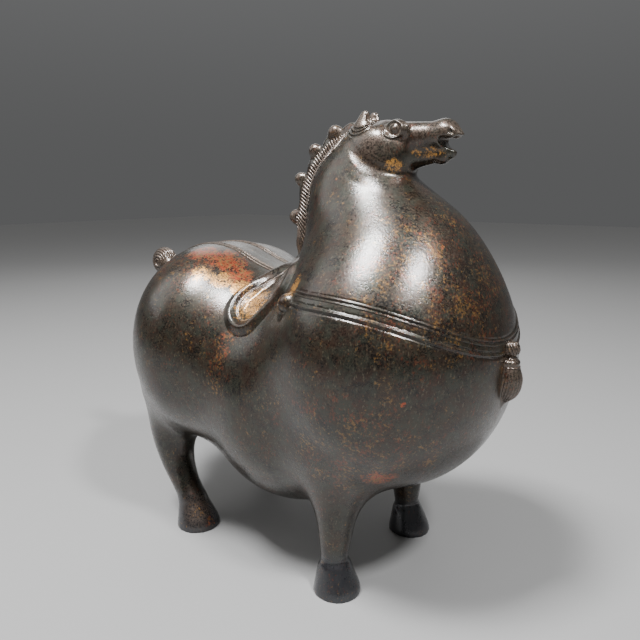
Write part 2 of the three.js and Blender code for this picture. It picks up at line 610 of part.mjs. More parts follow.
// Merges edges in the order that changes the surface least, down to the wanted face count.
function simplify({ points, faces }, wanted) {
  const count = points.length / 3;
  const around = Array.from({ length: count }, () => []);
  const quadric = new Float64Array(count * 10);
  const version = new Int32Array(count);
  const gone = new Uint8Array(faces.length / 3);
  const corner = (f, i) => faces[f * 3 + i];
  const normalOf = (a, b, c) => {
    const ux = b[0] - a[0];
    const uy = b[1] - a[1];
    const uz = b[2] - a[2];
    const vx = c[0] - a[0];
    const vy = c[1] - a[1];
    const vz = c[2] - a[2];
    return [uy * vz - uz * vy, uz * vx - ux * vz, ux * vy - uy * vx];
  };
  const place = (v) => [points[v * 3], points[v * 3 + 1], points[v * 3 + 2]];
  for (let f = 0; f < gone.length; f += 1) {
    const [a, b, c] = [place(corner(f, 0)), place(corner(f, 1)), place(corner(f, 2))];
    const n = normalOf(a, b, c);
    const size = Math.hypot(...n) || 1e-12;
    const [x, y, z] = n.map((v) => v / size);
    const w = -(x * a[0] + y * a[1] + z * a[2]);
    const terms = [x * x, x * y, x * z, x * w, y * y, y * z, y * w, z * z, z * w, w * w];
    for (let i = 0; i < 3; i += 1) {
      const v = corner(f, i);
      around[v].push(f);
      terms.forEach((term, k) => {
        quadric[v * 10 + k] += term * size;
      });
    }
  }
  const errorAt = (q, x, y, z) => q[0] * x * x + 2 * q[1] * x * y + 2 * q[2] * x * z + 2 * q[3] * x
    + q[4] * y * y + 2 * q[5] * y * z + 2 * q[6] * y + q[7] * z * z + 2 * q[8] * z + q[9];
  const heap = new EdgeHeap();
  const offer = (a, b) => {
    const q = [];
    for (let k = 0; k < 10; k += 1) {
      q.push(quadric[a * 10 + k] + quadric[b * 10 + k]);
    }
    const pa = place(a);
    const pb = place(b);
    const mid = pa.map((v, i) => (v + pb[i]) / 2);
    const soft = 1e-3 * (q[0] + q[4] + q[7]) + 1e-9;
    const m = new THREE.Matrix3().set(
      q[0] + soft, q[1], q[2],
      q[1], q[4] + soft, q[5],
      q[2], q[5], q[7] + soft,
    );
    const right = new THREE.Vector3(mid[0] * soft - q[3], mid[1] * soft - q[6], mid[2] * soft - q[8]);
    const best = right.applyMatrix3(m.invert()).toArray();
    const length = Math.hypot(pa[0] - pb[0], pa[1] - pb[1], pa[2] - pb[2]);
    const away = Math.hypot(best[0] - mid[0], best[1] - mid[1], best[2] - mid[2]);
    const at = away < length * 1.5 ? best : mid;
    const error = Math.max(errorAt(q, ...at), 0);
    heap.push({ cost: error + 1e-5 * length * length, a, b, at, va: version[a], vb: version[b] });
  };
  const ring = (v) => {
    const out = new Set();
    for (const f of around[v]) {
      for (let i = 0; i < 3; i += 1) {
        out.add(corner(f, i));
      }
    }
    out.delete(v);
    return out;
  };
  const staysGood = (v, other, at) => {
    for (const f of around[v]) {
      const ids = [corner(f, 0), corner(f, 1), corner(f, 2)];
      if (ids.includes(other)) {
        continue;
      }
      const old = normalOf(...ids.map(place));
      const p = ids.map((id) => (id === v ? at : place(id)));
      const now = normalOf(...p);
      const so = Math.hypot(...old);
      const sn = Math.hypot(...now);
      const dot = old[0] * now[0] + old[1] * now[1] + old[2] * now[2];
      let edges = 0;
      for (let i = 0; i < 3; i += 1) {
        const q = p[(i + 1) % 3];
        edges += (p[i][0] - q[0]) ** 2 + (p[i][1] - q[1]) ** 2 + (p[i][2] - q[2]) ** 2;
      }
      if (dot < 0.35 * so * sn || sn < 0.06 * edges) {
        return false;
      }
    }
    return true;
  };
  for (let f = 0; f < gone.length; f += 1) {
    for (let i = 0; i < 3; i += 1) {
      const a = corner(f, i);
      const b = corner(f, (i + 1) % 3);
      if (a < b) {
        offer(a, b);
      }
    }
  }
  let left = gone.length;
  while (left > wanted && heap.items.length > 0) {
    const { a, b, at, va, vb } = heap.pop();
    if (version[a] !== va || version[b] !== vb) {
      continue;
    }
    const ringA = ring(a);
    const shared = [...ring(b)].filter((v) => ringA.has(v));
    if (shared.length !== 2 || !staysGood(a, b, at) || !staysGood(b, a, at)) {
      continue;
    }
    for (const f of around[b]) {
      const hasA = corner(f, 0) === a || corner(f, 1) === a || corner(f, 2) === a;
      if (hasA) {
        gone[f] = 1;
        left -= 1;
      } else {
        for (let i = 0; i < 3; i += 1) {
          if (corner(f, i) === b) {
            faces[f * 3 + i] = a;
          }
        }
        around[a].push(f);
      }
    }
    around[b] = [];
    around[a] = around[a].filter((f) => !gone[f]);
    shared.forEach((v) => {
      around[v] = around[v].filter((f) => !gone[f]);
    });
    points.set(at, a * 3);
    for (let k = 0; k < 10; k += 1) {
      quadric[a * 10 + k] += quadric[b * 10 + k];
    }
    version[a] += 1;
    version[b] += 1;
    for (const v of ring(a)) {
      offer(Math.min(a, v), Math.max(a, v));
    }
  }
  const kept = new Map();
  const outPoints = [];
  const outFaces = [];
  for (let f = 0; f < gone.length; f += 1) {
    if (gone[f]) {
      continue;
    }
    for (let i = 0; i < 3; i += 1) {
      const v = corner(f, i);
      if (!kept.has(v)) {
        kept.set(v, outPoints.length / 3);
        outPoints.push(points[v * 3], points[v * 3 + 1], points[v * 3 + 2]);
      }
      outFaces.push(kept.get(v));
    }
  }
  return { points: outPoints, faces: outFaces };
}

function casting() {
  const fine = surfaceNet(horse);
  settle(fine.points, horse, 2);
  const { points, faces } = simplify(fine, FACES);
  const low = [Infinity, Infinity];
  const high = [-Infinity, -Infinity];
  for (let v = 0; v < points.length; v += 3) {
    if (points[v + 2] < FLOOR_SNAP) {
      points[v + 2] = 0;
    }
    for (let i = 0; i < 2; i += 1) {
      low[i] = Math.min(low[i], points[v + i]);
      high[i] = Math.max(high[i], points[v + i]);
    }
  }
  const geometry = new THREE.BufferGeometry();
  geometry.setAttribute("position", new THREE.Float32BufferAttribute(points, 3));
  geometry.setIndex(faces);
  geometry.translate(-(low[0] + high[0]) / 2, -(low[1] + high[1]) / 2, 0);
  geometry.computeVertexNormals();
  return geometry;
}

const bronze = new THREE.MeshStandardMaterial({ color: 0x5b5048, roughness: 0.42, metalness: 0.85 });
const horseCasting = new THREE.Mesh(casting(), bronze);
horseCasting.name = "horse_casting";

const group = new THREE.Group();
group.name = "bronze_horse";
group.add(horseCasting);

export default group;
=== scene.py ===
"""Looks of a bronze horse sculpture, built over its packed casting.

Forms are laid out in millimetres in the frame of the casting: nose toward +X, left side +Y, up +Z.
Every finished mesh is in metres with its object at the origin.
"""

import logging  # noqa: E402
import math  # noqa: E402
from collections.abc import Callable, Sequence  # noqa: E402
from dataclasses import dataclass, field  # noqa: E402
from enum import Enum  # noqa: E402

import bpy  # noqa: E402
import numpy as np  # noqa: E402
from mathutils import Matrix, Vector  # noqa: E402


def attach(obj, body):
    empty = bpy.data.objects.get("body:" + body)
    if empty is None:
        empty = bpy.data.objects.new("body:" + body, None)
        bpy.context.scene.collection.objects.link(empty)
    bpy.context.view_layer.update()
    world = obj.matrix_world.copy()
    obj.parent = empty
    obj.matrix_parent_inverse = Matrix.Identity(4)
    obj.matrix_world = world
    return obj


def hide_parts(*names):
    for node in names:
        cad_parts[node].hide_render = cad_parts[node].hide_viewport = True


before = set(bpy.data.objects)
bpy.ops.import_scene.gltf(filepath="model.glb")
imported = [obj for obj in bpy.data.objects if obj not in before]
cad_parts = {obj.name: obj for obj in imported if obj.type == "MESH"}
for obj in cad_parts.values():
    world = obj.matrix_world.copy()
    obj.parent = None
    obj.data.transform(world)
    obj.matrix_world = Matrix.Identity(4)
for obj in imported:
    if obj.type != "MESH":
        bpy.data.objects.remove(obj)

log = logging.getLogger("bronze_horse")

MM = 0.001
# Keeps a division by a length from failing.
TINY = 1e-9
# Floor of the squared slope by which a step onto a surface is divided.
LEAST_SLOPE2 = 0.2
# The Mix node's inputs for two colours, and its output for their mixture.
MIX_COLOURS = (6, 7)
MIX_RESULT = 2

Points = np.ndarray
Field = Callable[[Points], np.ndarray]
Piece = bpy.types.Object
Socket = bpy.types.NodeSocket
Number = float | Socket
Pair = tuple[float, float]
Triple = tuple[float, float, float]
Four = tuple[float, float, float, float]
NO_LIMIT: Pair = (-math.inf, math.inf)


class Flank(Enum):
    """One side of the horse; the value is the sign of y there."""

    LEFT = 1
    RIGHT = -1


def soft_min(a: np.ndarray, b: np.ndarray, blend: float) -> np.ndarray:
    """Joins two distances with a fillet.

    Args:
        a: First distance.
        b: Second distance.
        blend: Width of the fillet in millimetres.

    Returns:
        The distance to the joined form.
    """
    near = np.maximum(blend - np.abs(a - b), 0) / blend
    return np.minimum(a, b) - near * near * blend * 0.25


def soft_max(a: np.ndarray, b: np.ndarray, blend: float) -> np.ndarray:
    """Intersects two distances with a fillet; see soft_min for the arguments."""
    return -soft_min(-a, -b, blend)


def ease(value: np.ndarray) -> np.ndarray:
    """Smooth rise from 0 to 1 as the value goes from 0 to 1."""
    v = np.clip(value, 0, 1)
    return v * v * (3 - 2 * v)


def window(value: np.ndarray, low: float, rise: float, high: float, fall: float) -> np.ndarray:
    """Share that rises smoothly from 0 to 1 after a low end and falls back to 0 before a high end.

    Args:
        value: Places along the run.
        low: Where the rise starts.
        rise: Length of the rise.
        high: Where the fall ends.
        fall: Length of the fall.

    Returns:
        The share at each place.
    """
    return ease((value - low) / rise) * ease((high - value) / fall)


def rib(offset: np.ndarray, half_width: float, height: float) -> np.ndarray:
    """Profile of a rounded rib.

    Args:
        offset: Distance from the rib's middle line.
        half_width: Half its width.
        height: Its height over the skin.

    Returns:
        How far the rib stands proud at each point.
    """
    inside = np.maximum(1 - (offset / half_width) ** 2, 0)
    return height * inside * inside


def mirrored(points: Points) -> Points:
    """The same points with every y on the left side."""
    out = points.copy()
    out[:, 1] = np.abs(out[:, 1])
    return out


def spokes(turn: float, count: int, length: float) -> Points:
    """Level vectors of one length, spread evenly about the way to the nose.

    Args:
        turn: Angle of the outer ones to either side, in degrees.
        count: How many.
        length: Their length.

    Returns:
        One vector per row, from right to left.
    """
    angle = np.radians(np.linspace(-turn, turn, count))
    return np.column_stack([np.cos(angle), np.sin(angle), np.zeros(count)]) * length


@dataclass(frozen=True)
class Blob:
    """An ellipsoid; tilt turns it about Y, nose up, in degrees."""

    at: Triple
    radii: Triple
    tilt: float = 0.0

    def distance(self, points: Points) -> np.ndarray:
        """Signed distance of points to the ellipsoid."""
        c, s = math.cos(math.radians(self.tilt)), math.sin(math.radians(self.tilt))
        q = points - np.array(self.at)
        turned = np.stack([q[:, 0] * c + q[:, 2] * s, q[:, 1], -q[:, 0] * s + q[:, 2] * c], 1)
        radii = np.array(self.radii)
        near = np.linalg.norm(turned / radii, axis=1)
        slope = np.linalg.norm(turned / radii**2, axis=1)
        return near * (near - 1) / np.maximum(slope, TINY)


@dataclass(frozen=True)
class Taper:
    """The hull of two balls; flat thins it across Y."""

    start: Triple
    end: Triple
    r0: float
    r1: float
    flat: float = 1.0

    def distance(self, points: Points) -> np.ndarray:
        """Signed distance of points to the hull."""
        squeeze = np.array([1, 1 / self.flat, 1])
        a = np.array(self.start) * squeeze
        run = np.array(self.end) * squeeze - a
        length2 = float(run @ run)
        drop = self.r0 - self.r1
        cone2 = length2 - drop * drop
        q = points * squeeze - a
        along = q @ run
        past = along - length2
        side2 = ((q * length2 - along[:, None] * run) ** 2).sum(1)
        along2 = along * along * length2
        past2 = past * past * length2
        limit = math.copysign(drop * drop, drop) * side2
        at_end = np.sqrt(side2 + past2) / length2 - self.r1
        at_start = np.sqrt(side2 + along2) / length2 - self.r0
        flank = (np.sqrt(np.maximum(side2 * cone2 / length2, 0)) + along * drop) / length2 - self.r0
        d = np.where(np.sign(along) * cone2 * along2 < limit, at_start, flank)
        d = np.where(np.sign(past) * cone2 * past2 > limit, at_end, d)
        return d * min(1.0, self.flat)


@dataclass(frozen=True)
class Zone:
    """A box of space, without limits where none are given, and the longest edge wanted in it."""

    x: Pair = NO_LIMIT
    y: Pair = NO_LIMIT
    z: Pair = NO_LIMIT
    edge: float = math.inf

    def holds(self, points: Points) -> np.ndarray:
        """Tells which points are inside."""
        low, high = np.array([self.x, self.y, self.z]).T
        return ((points > low) & (points < high)).all(1)


def slope_of(distance: Field, points: Points, step: float = 0.05) -> np.ndarray:
    """Gradient of a distance field.

    Args:
        distance: The field.
        points: Where it is wanted.
        step: Half the sampling distance in millimetres.

    Returns:
        One gradient vector per point.
    """
    out = np.empty_like(points)
    for axis in range(3):
        shift = np.zeros(3)
        shift[axis] = step
        out[:, axis] = (distance(points + shift) - distance(points - shift)) / (2 * step)
    return out


def outward(distance: Field, points: Points) -> np.ndarray:
    """Unit vectors along the slope of a distance field, one for each point."""
    slope = slope_of(distance, points)
    return slope / np.maximum(np.linalg.norm(slope, axis=1), TINY)[:, None]


def settle(distance: Field, points: Points, rounds: int = 2, cap: float = 0.8) -> Points:
    """Moves points along the slope of a distance field onto its surface.

    Args:
        distance: The field.
        points: Points near the surface.
        rounds: Newton steps.
        cap: Longest move of one step in millimetres.

    Returns:
        The moved points.
    """
    for _ in range(rounds):
        slope = slope_of(distance, points)
        move = np.clip(distance(points) / np.maximum((slope**2).sum(1), LEAST_SLOPE2), -cap, cap)
        points = points - slope * move[:, None]
    return points


def sunk(paths: Sequence[Points], skin: Field, depth: float) -> list[Points]:
    """Presses paths into a surface.

    Args:
        paths: Rows of points on the surface.
        skin: Distance field of the surface.
        depth: How deep, in millimetres; below 0 the paths are lifted.

    Returns:
        The pressed rows.
    """
    return [rows - outward(skin, rows) * depth for rows in paths]


def line_through(stations: Sequence[Sequence[float]], steps: int) -> np.ndarray:
    """Smooth line through stations.

    Args:
        stations: Rows of numbers, such as x, y, z and radius.
        steps: Steps per span.

    Returns:
        The rows of the smooth line.
    """
    p = np.array(stations, float)
    p = np.vstack([2 * p[0] - p[1], p, 2 * p[-1] - p[-2]])
    out = []
    for i in range(1, len(p) - 2):
        for u in np.arange(steps) / steps:
            a = 2 * p[i]
            b = p[i + 1] - p[i - 1]
            c = 2 * p[i - 1] - 5 * p[i] + 4 * p[i + 1] - p[i + 2]
            d = -p[i - 1] + 3 * p[i] - 3 * p[i + 1] + p[i + 2]
            out.append(0.5 * (a + b * u + c * u * u + d * u**3))
    out.append(p[-2])
    return np.array(out)


def side_distance(x: np.ndarray, z: np.ndarray, line: np.ndarray) -> np.ndarray:
    """Distance in the side view to an open line.

    Args:
        x: Places along the horse.
        z: Heights.
        line: Rows of x and z.

    Returns:
        The unsigned distance of each place.
    """
    best = np.full(len(x), np.inf)
    for (ax, az), (bx, bz) in zip(line[:-1], line[1:]):
        run = np.array([bx - ax, bz - az])
        t = np.clip(((x - ax) * run[0] + (z - az) * run[1]) / (run @ run), 0, 1)
        best = np.minimum(best, np.hypot(x - ax - run[0] * t, z - az - run[1] * t))
    return best


def cast_inward(skin: Field, outside: Points, inside: Points, rounds: int = 24) -> Points:
    """Finds where straight lines cross a surface.

    Args:
        skin: Distance field of the surface.
        outside: One start for each line, outside the surface.
        inside: Its end, inside the surface.
        rounds: Halvings of the line.

    Returns:
        One point on the surface for each line.
    """
    near, far = np.zeros(len(outside)), np.ones(len(outside))
    for _ in range(rounds):
        middle = (near + far) / 2
        hit = skin(outside + (inside - outside) * middle[:, None]) < 0
        near, far = np.where(hit, near, middle), np.where(hit, middle, far)
    return outside + (inside - outside) * far[:, None]


def on_flank(skin: Field, x: np.ndarray, z: np.ndarray, side: Flank, reach: float = 95) -> Points:
    """Puts places of the side view onto one flank.

    Args:
        skin: Distance field of the surface.
        x: Places along the horse.
        z: Heights.
        side: Which flank.
        reach: Where the search starts, in millimetres from the middle plane.

    Returns:
        One point on the flank for each place.
    """
    outside = np.column_stack([x, np.full(len(x), side.value * reach), z])
    return cast_inward(skin, outside, outside * np.array([1, 0, 1]))


def mesh_object(
    name: str, points: Points, faces: np.ndarray, normals: np.ndarray | None = None
) -> Piece:
    """Makes a mesh object from points in millimetres.

    Args:
        name: The object's name.
        points: Its points.
        faces: Its faces or, with two columns, its edges.
        normals: One normal per face corner, or none.

    Returns:
        The object, in metres at the origin.
    """
    mesh = bpy.data.meshes.new(name)
    rows = (points * MM).tolist()
    if faces.shape[1] == 2:
        mesh.from_pydata(rows, faces.tolist(), [])
    else:
        mesh.from_pydata(rows, [], faces.tolist())
        mesh.shade_smooth()
    if normals is not None:
        mesh.normals_split_custom_set(normals.tolist())
    piece = bpy.data.objects.new(name, mesh)
    bpy.context.scene.collection.objects.link(piece)
    return piece


@dataclass(frozen=True)
class Noise:
    """A noise pattern, turned (in radians) and stretched where it is streaky; scale per metre."""

    scale: float
    detail: float
    rough: float
    turn: Triple | None = None
    stretch: Triple = (1, 1, 1)


@dataclass(frozen=True)
class Spot:
    """A worn or stained place, or a place of painted sheen: centre and radii in metres, and how
    strong the wear, stain or sheen is.
    """

    at: Triple
    radii: Triple
    strength: float = 1.0


@dataclass
class NodeWork:
    """Short ways to add linked nodes to a tree."""

    tree: bpy.types.NodeTree
    spot_edge: Pair = (0.2, 1.4)

    def put(self, socket: Socket, value: Number | Triple | Four) -> None:
        """Links a socket to the input, or sets the input's value."""
        if isinstance(value, Socket):
            self.tree.links.new(value, socket)
        else:
            socket.default_value = value

    def math(self, work: str, a: Number, b: Number) -> Socket:
        """Adds one math node whose inputs are numbers or sockets, and returns its result."""
        node = self.tree.nodes.new("ShaderNodeMath")
        node.operation = work
        self.put(node.inputs[0], a)
        self.put(node.inputs[1], b)
        return node.outputs[0]

    def weighted(self, *parts: tuple[Socket, float]) -> Socket:
        """Adds up values, each times its weight, and returns the sum."""
        total = None
        for value, weight in parts:
            part = value if weight == 1 else self.math("MULTIPLY", value, weight)
            total = part if total is None else self.math("ADD", total, part)
        return total

    def noise(self, place: Socket, pattern: Noise) -> Socket:
        """Adds a noise over the given coordinates and returns its value."""
        if pattern.turn is not None:
            mapping = self.tree.nodes.new("ShaderNodeMapping")
            self.put(mapping.inputs["Vector"], place)
            mapping.inputs["Rotation"].default_value = pattern.turn
            mapping.inputs["Scale"].default_value = pattern.stretch
            place = mapping.outputs["Vector"]
        node = self.tree.nodes.new("ShaderNodeTexNoise")
        self.put(node.inputs["Vector"], place)
        node.inputs["Scale"].default_value = pattern.scale
        node.inputs["Detail"].default_value = pattern.detail
        node.inputs["Roughness"].default_value = pattern.rough
        return node.outputs["Fac"]

    def remap(
        self, value: Socket, low: Number, high: Number, to_low: Number = 0.0, to_high: Number = 1.0
    ) -> Socket:
        """Maps a value from low..high to to_low..to_high with soft ends."""
        node = self.tree.nodes.new("ShaderNodeMapRange")
        node.interpolation_type = "SMOOTHSTEP"
        for name, number in (
            ("Value", value), ("From Min", low), ("From Max", high),
            ("To Min", to_low), ("To Max", to_high),
        ):
            self.put(node.inputs[name], number)
        return node.outputs["Result"]

    def mix(self, share: Socket, a: Socket | Triple, b: Socket | Triple) -> Socket:
        """Mixes two colours, each a triple or a socket, by a share."""
        node = self.tree.nodes.new("ShaderNodeMix")
        node.data_type = "RGBA"
        self.put(node.inputs[0], share)
        for at, value in zip(MIX_COLOURS, (a, b)):
            self.put(node.inputs[at], (*value, 1) if isinstance(value, tuple) else value)
        return node.outputs[MIX_RESULT]

    def spots(self, place: Socket, spots: Sequence[Spot]) -> Socket:
        """Joins soft round places and returns their mask."""
        total = None
        for spot in spots:
            shift = self.tree.nodes.new("ShaderNodeMapping")
            shift.vector_type = "TEXTURE"
            shift.inputs["Location"].default_value = spot.at
            shift.inputs["Scale"].default_value = spot.radii
            self.put(shift.inputs["Vector"], place)
            length = self.tree.nodes.new("ShaderNodeVectorMath")
            length.operation = "LENGTH"
            self.put(length.inputs[0], shift.outputs["Vector"])
            mask = self.remap(length.outputs["Value"], *self.spot_edge, spot.strength, 0.0)
            total = mask if total is None else self.math("MAXIMUM", total, mask)
        return total


@dataclass(frozen=True)
class Finishes:
    """The horse's two finishes: the bronze, and the lighter one of its rubbed lines."""

    bronze: bpy.types.Material
    worn: bpy.types.Material


@dataclass(frozen=True)
class RaisedLines:
    """One piece of round-backed lines that Geometry Nodes sweep along given paths.

    The lines are pressed into a surface by the sink, in millimetres like the radius. Over the end
    share of its length each end thins to the end scale. Rubbed lines take the lighter finish.
    """

    name: str
    radius: float
    sink: float = 0
    end_share: float = 0.25
    rubbed: bool = True
    end_scale: float = 0.25
    sides: int = 7

    def tree(self, material: bpy.types.Material) -> bpy.types.NodeTree:
        """Builds the node tree that sweeps a round section along every path."""
        tree = bpy.data.node_groups.new("raised_lines", "GeometryNodeTree")
        sockets = tree.interface
        sockets.new_socket("Paths", in_out="INPUT", socket_type="NodeSocketGeometry")
        sockets.new_socket("Lines", in_out="OUTPUT", socket_type="NodeSocketGeometry")
        for name, kind in (
            ("Line Radius", "NodeSocketFloat"), ("End Scale", "NodeSocketFloat"),
            ("End Share", "NodeSocketFloat"), ("Profile Sides", "NodeSocketInt"),
        ):
            sockets.new_socket(name, in_out="INPUT", socket_type=kind)
        add, link = tree.nodes.new, tree.links.new
        given, result = add("NodeGroupInput"), add("NodeGroupOutput")
        curve = add("GeometryNodeMeshToCurve")
        place = add("GeometryNodeSplineParameter")
        work = NodeWork(tree)
        from_end = work.math("SUBTRACT", 1.0, place.outputs["Factor"])
        nearest = work.math("MINIMUM", place.outputs["Factor"], from_end)
        width = work.remap(nearest, 0.0, given.outputs["End Share"], given.outputs["End Scale"])
        sized = add("GeometryNodeSetCurveRadius")
        profile = add("GeometryNodeCurvePrimitiveCircle")
        sweep = add("GeometryNodeCurveToMesh")
        radius = add("GeometryNodeInputRadius")
        smooth = add("GeometryNodeSetShadeSmooth")
        real = add("GeometryNodeRealizeInstances")
        finish = add("GeometryNodeSetMaterial")
        finish.inputs["Material"].default_value = material
        sweep.inputs["Fill Caps"].default_value = True
        link(given.outputs["Paths"], curve.inputs["Mesh"])
        link(curve.outputs["Curve"], sized.inputs["Curve"])
        link(width, sized.inputs["Radius"])
        link(given.outputs["Profile Sides"], profile.inputs["Resolution"])
        link(given.outputs["Line Radius"], profile.inputs["Radius"])
        link(sized.outputs["Curve"], sweep.inputs["Curve"])
        link(radius.outputs["Radius"], sweep.inputs["Scale"])
        link(profile.outputs["Curve"], sweep.inputs["Profile Curve"])
        link(sweep.outputs["Mesh"], smooth.inputs["Geometry"])
        link(smooth.outputs["Geometry"], real.inputs["Geometry"])
        link(real.outputs["Geometry"], finish.inputs["Geometry"])
        link(finish.outputs["Geometry"], result.inputs["Lines"])
        return tree

    def build(self, paths: Sequence[Points], skin: Field, finishes: Finishes) -> Piece:
        """Sweeps the lines.

        Args:
            paths: Rows of points on the surface, one for each line.
            skin: Distance to the surface that carries them.
            finishes: The horse's finishes.

        Returns:
            The piece, a plain mesh at the origin.
        """
        paths = sunk(paths, skin, self.sink)
        starts = np.cumsum([0] + [len(rows) for rows in paths[:-1]])
        edges = np.vstack([
            np.column_stack([np.arange(len(rows) - 1), np.arange(1, len(rows))]) + start
            for rows, start in zip(paths, starts)
        ])
        guide = mesh_object(self.name + "_guide", np.vstack(paths), edges)
        tree = self.tree(finishes.worn if self.rubbed else finishes.bronze)
        sweep = guide.modifiers.new("sweep", "NODES")
        sweep.node_group = tree
        values = {
            "Line Radius": self.radius * MM,
            "End Scale": self.end_scale,
            "End Share": self.end_share,
            "Profile Sides": self.sides,
        }
        for item in tree.interface.items_tree:
            if item.in_out == "INPUT" and item.name in values:
                sweep[item.identifier] = values[item.name]
        graph = bpy.context.evaluated_depsgraph_get()
        mesh = bpy.data.meshes.new_from_object(guide.evaluated_get(graph))
        bpy.data.objects.remove(guide)
        mesh.name = self.name
        piece = bpy.data.objects.new(self.name, mesh)
        bpy.context.scene.collection.objects.link(piece)
        return piece


@dataclass
class Trunk:
    """Chest, belly, rump, haunches and neck, melted together."""

    chest: Blob = Blob((72.9, 0, 141.5), (69.8, 79.8, 80.6))
    belly: Blob = Blob((6.7, 0, 106.7), (68, 72.3, 76))
    rump: Blob = Blob((-70.8, 0, 137.5), (72, 56, 61.5))
    haunch: Blob = Blob((-61.1, 30.4, 129.6), (49.3, 48.2, 62.6))
    neck: Taper = Taper((68.5, 0, 199), (47, 0, 230), 36.5, 32, 0.85)
    crest: Taper = Taper((30, 0, 186), (50, 0, 255.5), 15.5, 11.5, 0.8)
    haunch_blend: float = 20
    rump_blend: float = 26
    chest_blend: float = 24
    neck_blend: float = 36
    crest_blend: float = 18

    def distance(self, points: Points) -> np.ndarray:
        """Signed distance to the smooth trunk."""
        m = mirrored(points)
        back = soft_min(self.rump.distance(m), self.haunch.distance(m), self.haunch_blend)
        d = soft_min(self.belly.distance(m), back, self.rump_blend)
        d = soft_min(d, self.chest.distance(m), self.chest_blend)
        d = soft_min(d, self.neck.distance(m), self.neck_blend)
        return soft_min(d, self.crest.distance(m), self.crest_blend)


@dataclass
class Leg:
    """One pair of legs: a smooth line of round sections and a flared hoof."""

    stations: Sequence[Four]
    hoof: Taper
    steps: int = 3
    hoof_blend: float = 3.0
    sections: list[Taper] = field(init=False)

    def __post_init__(self) -> None:
        """Lays the round sections along the line."""
        line = line_through(self.stations, self.steps)
        self.sections = [
            Taper(tuple(a[:3]), tuple(b[:3]), float(a[3]), float(b[3]))
            for a, b in zip(line[:-1], line[1:])
        ]

    def distance(self, m: Points) -> np.ndarray:
        """Signed distance of mirrored points to the leg."""
        shin = np.minimum.reduce([section.distance(m) for section in self.sections])
        return soft_min(shin, self.hoof.distance(m), self.hoof_blend)


def fore_leg() -> Leg:
    """The fore leg: a thick top, a slim straight shin."""
    stations = [
        (60, 35, 88, 24), (60, 39.5, 64, 16), (60, 41.5, 48, 12.2), (59.9, 42.6, 34, 9.9),
        (59.8, 43.2, 22, 8.2),
    ]
    return Leg(stations, Taper((60.6, 43.5, 13), (62.3, 43.7, 0), 10.6, 14.3), hoof_blend=1.6)


def hind_leg() -> Leg:
    """The hind leg, which leans forward below the hock."""
    stations = [
        (-90, 35, 92, 20), (-90.5, 38.8, 68, 16.6), (-84.3, 41.8, 46, 12.2), (-75.6, 42.8, 30, 9.7),
        (-68, 43.3, 20, 9.4),
    ]
    return Leg(stations, Taper((-66.4, 43.4, 15), (-61.6, 43.6, 0), 10.4, 15))


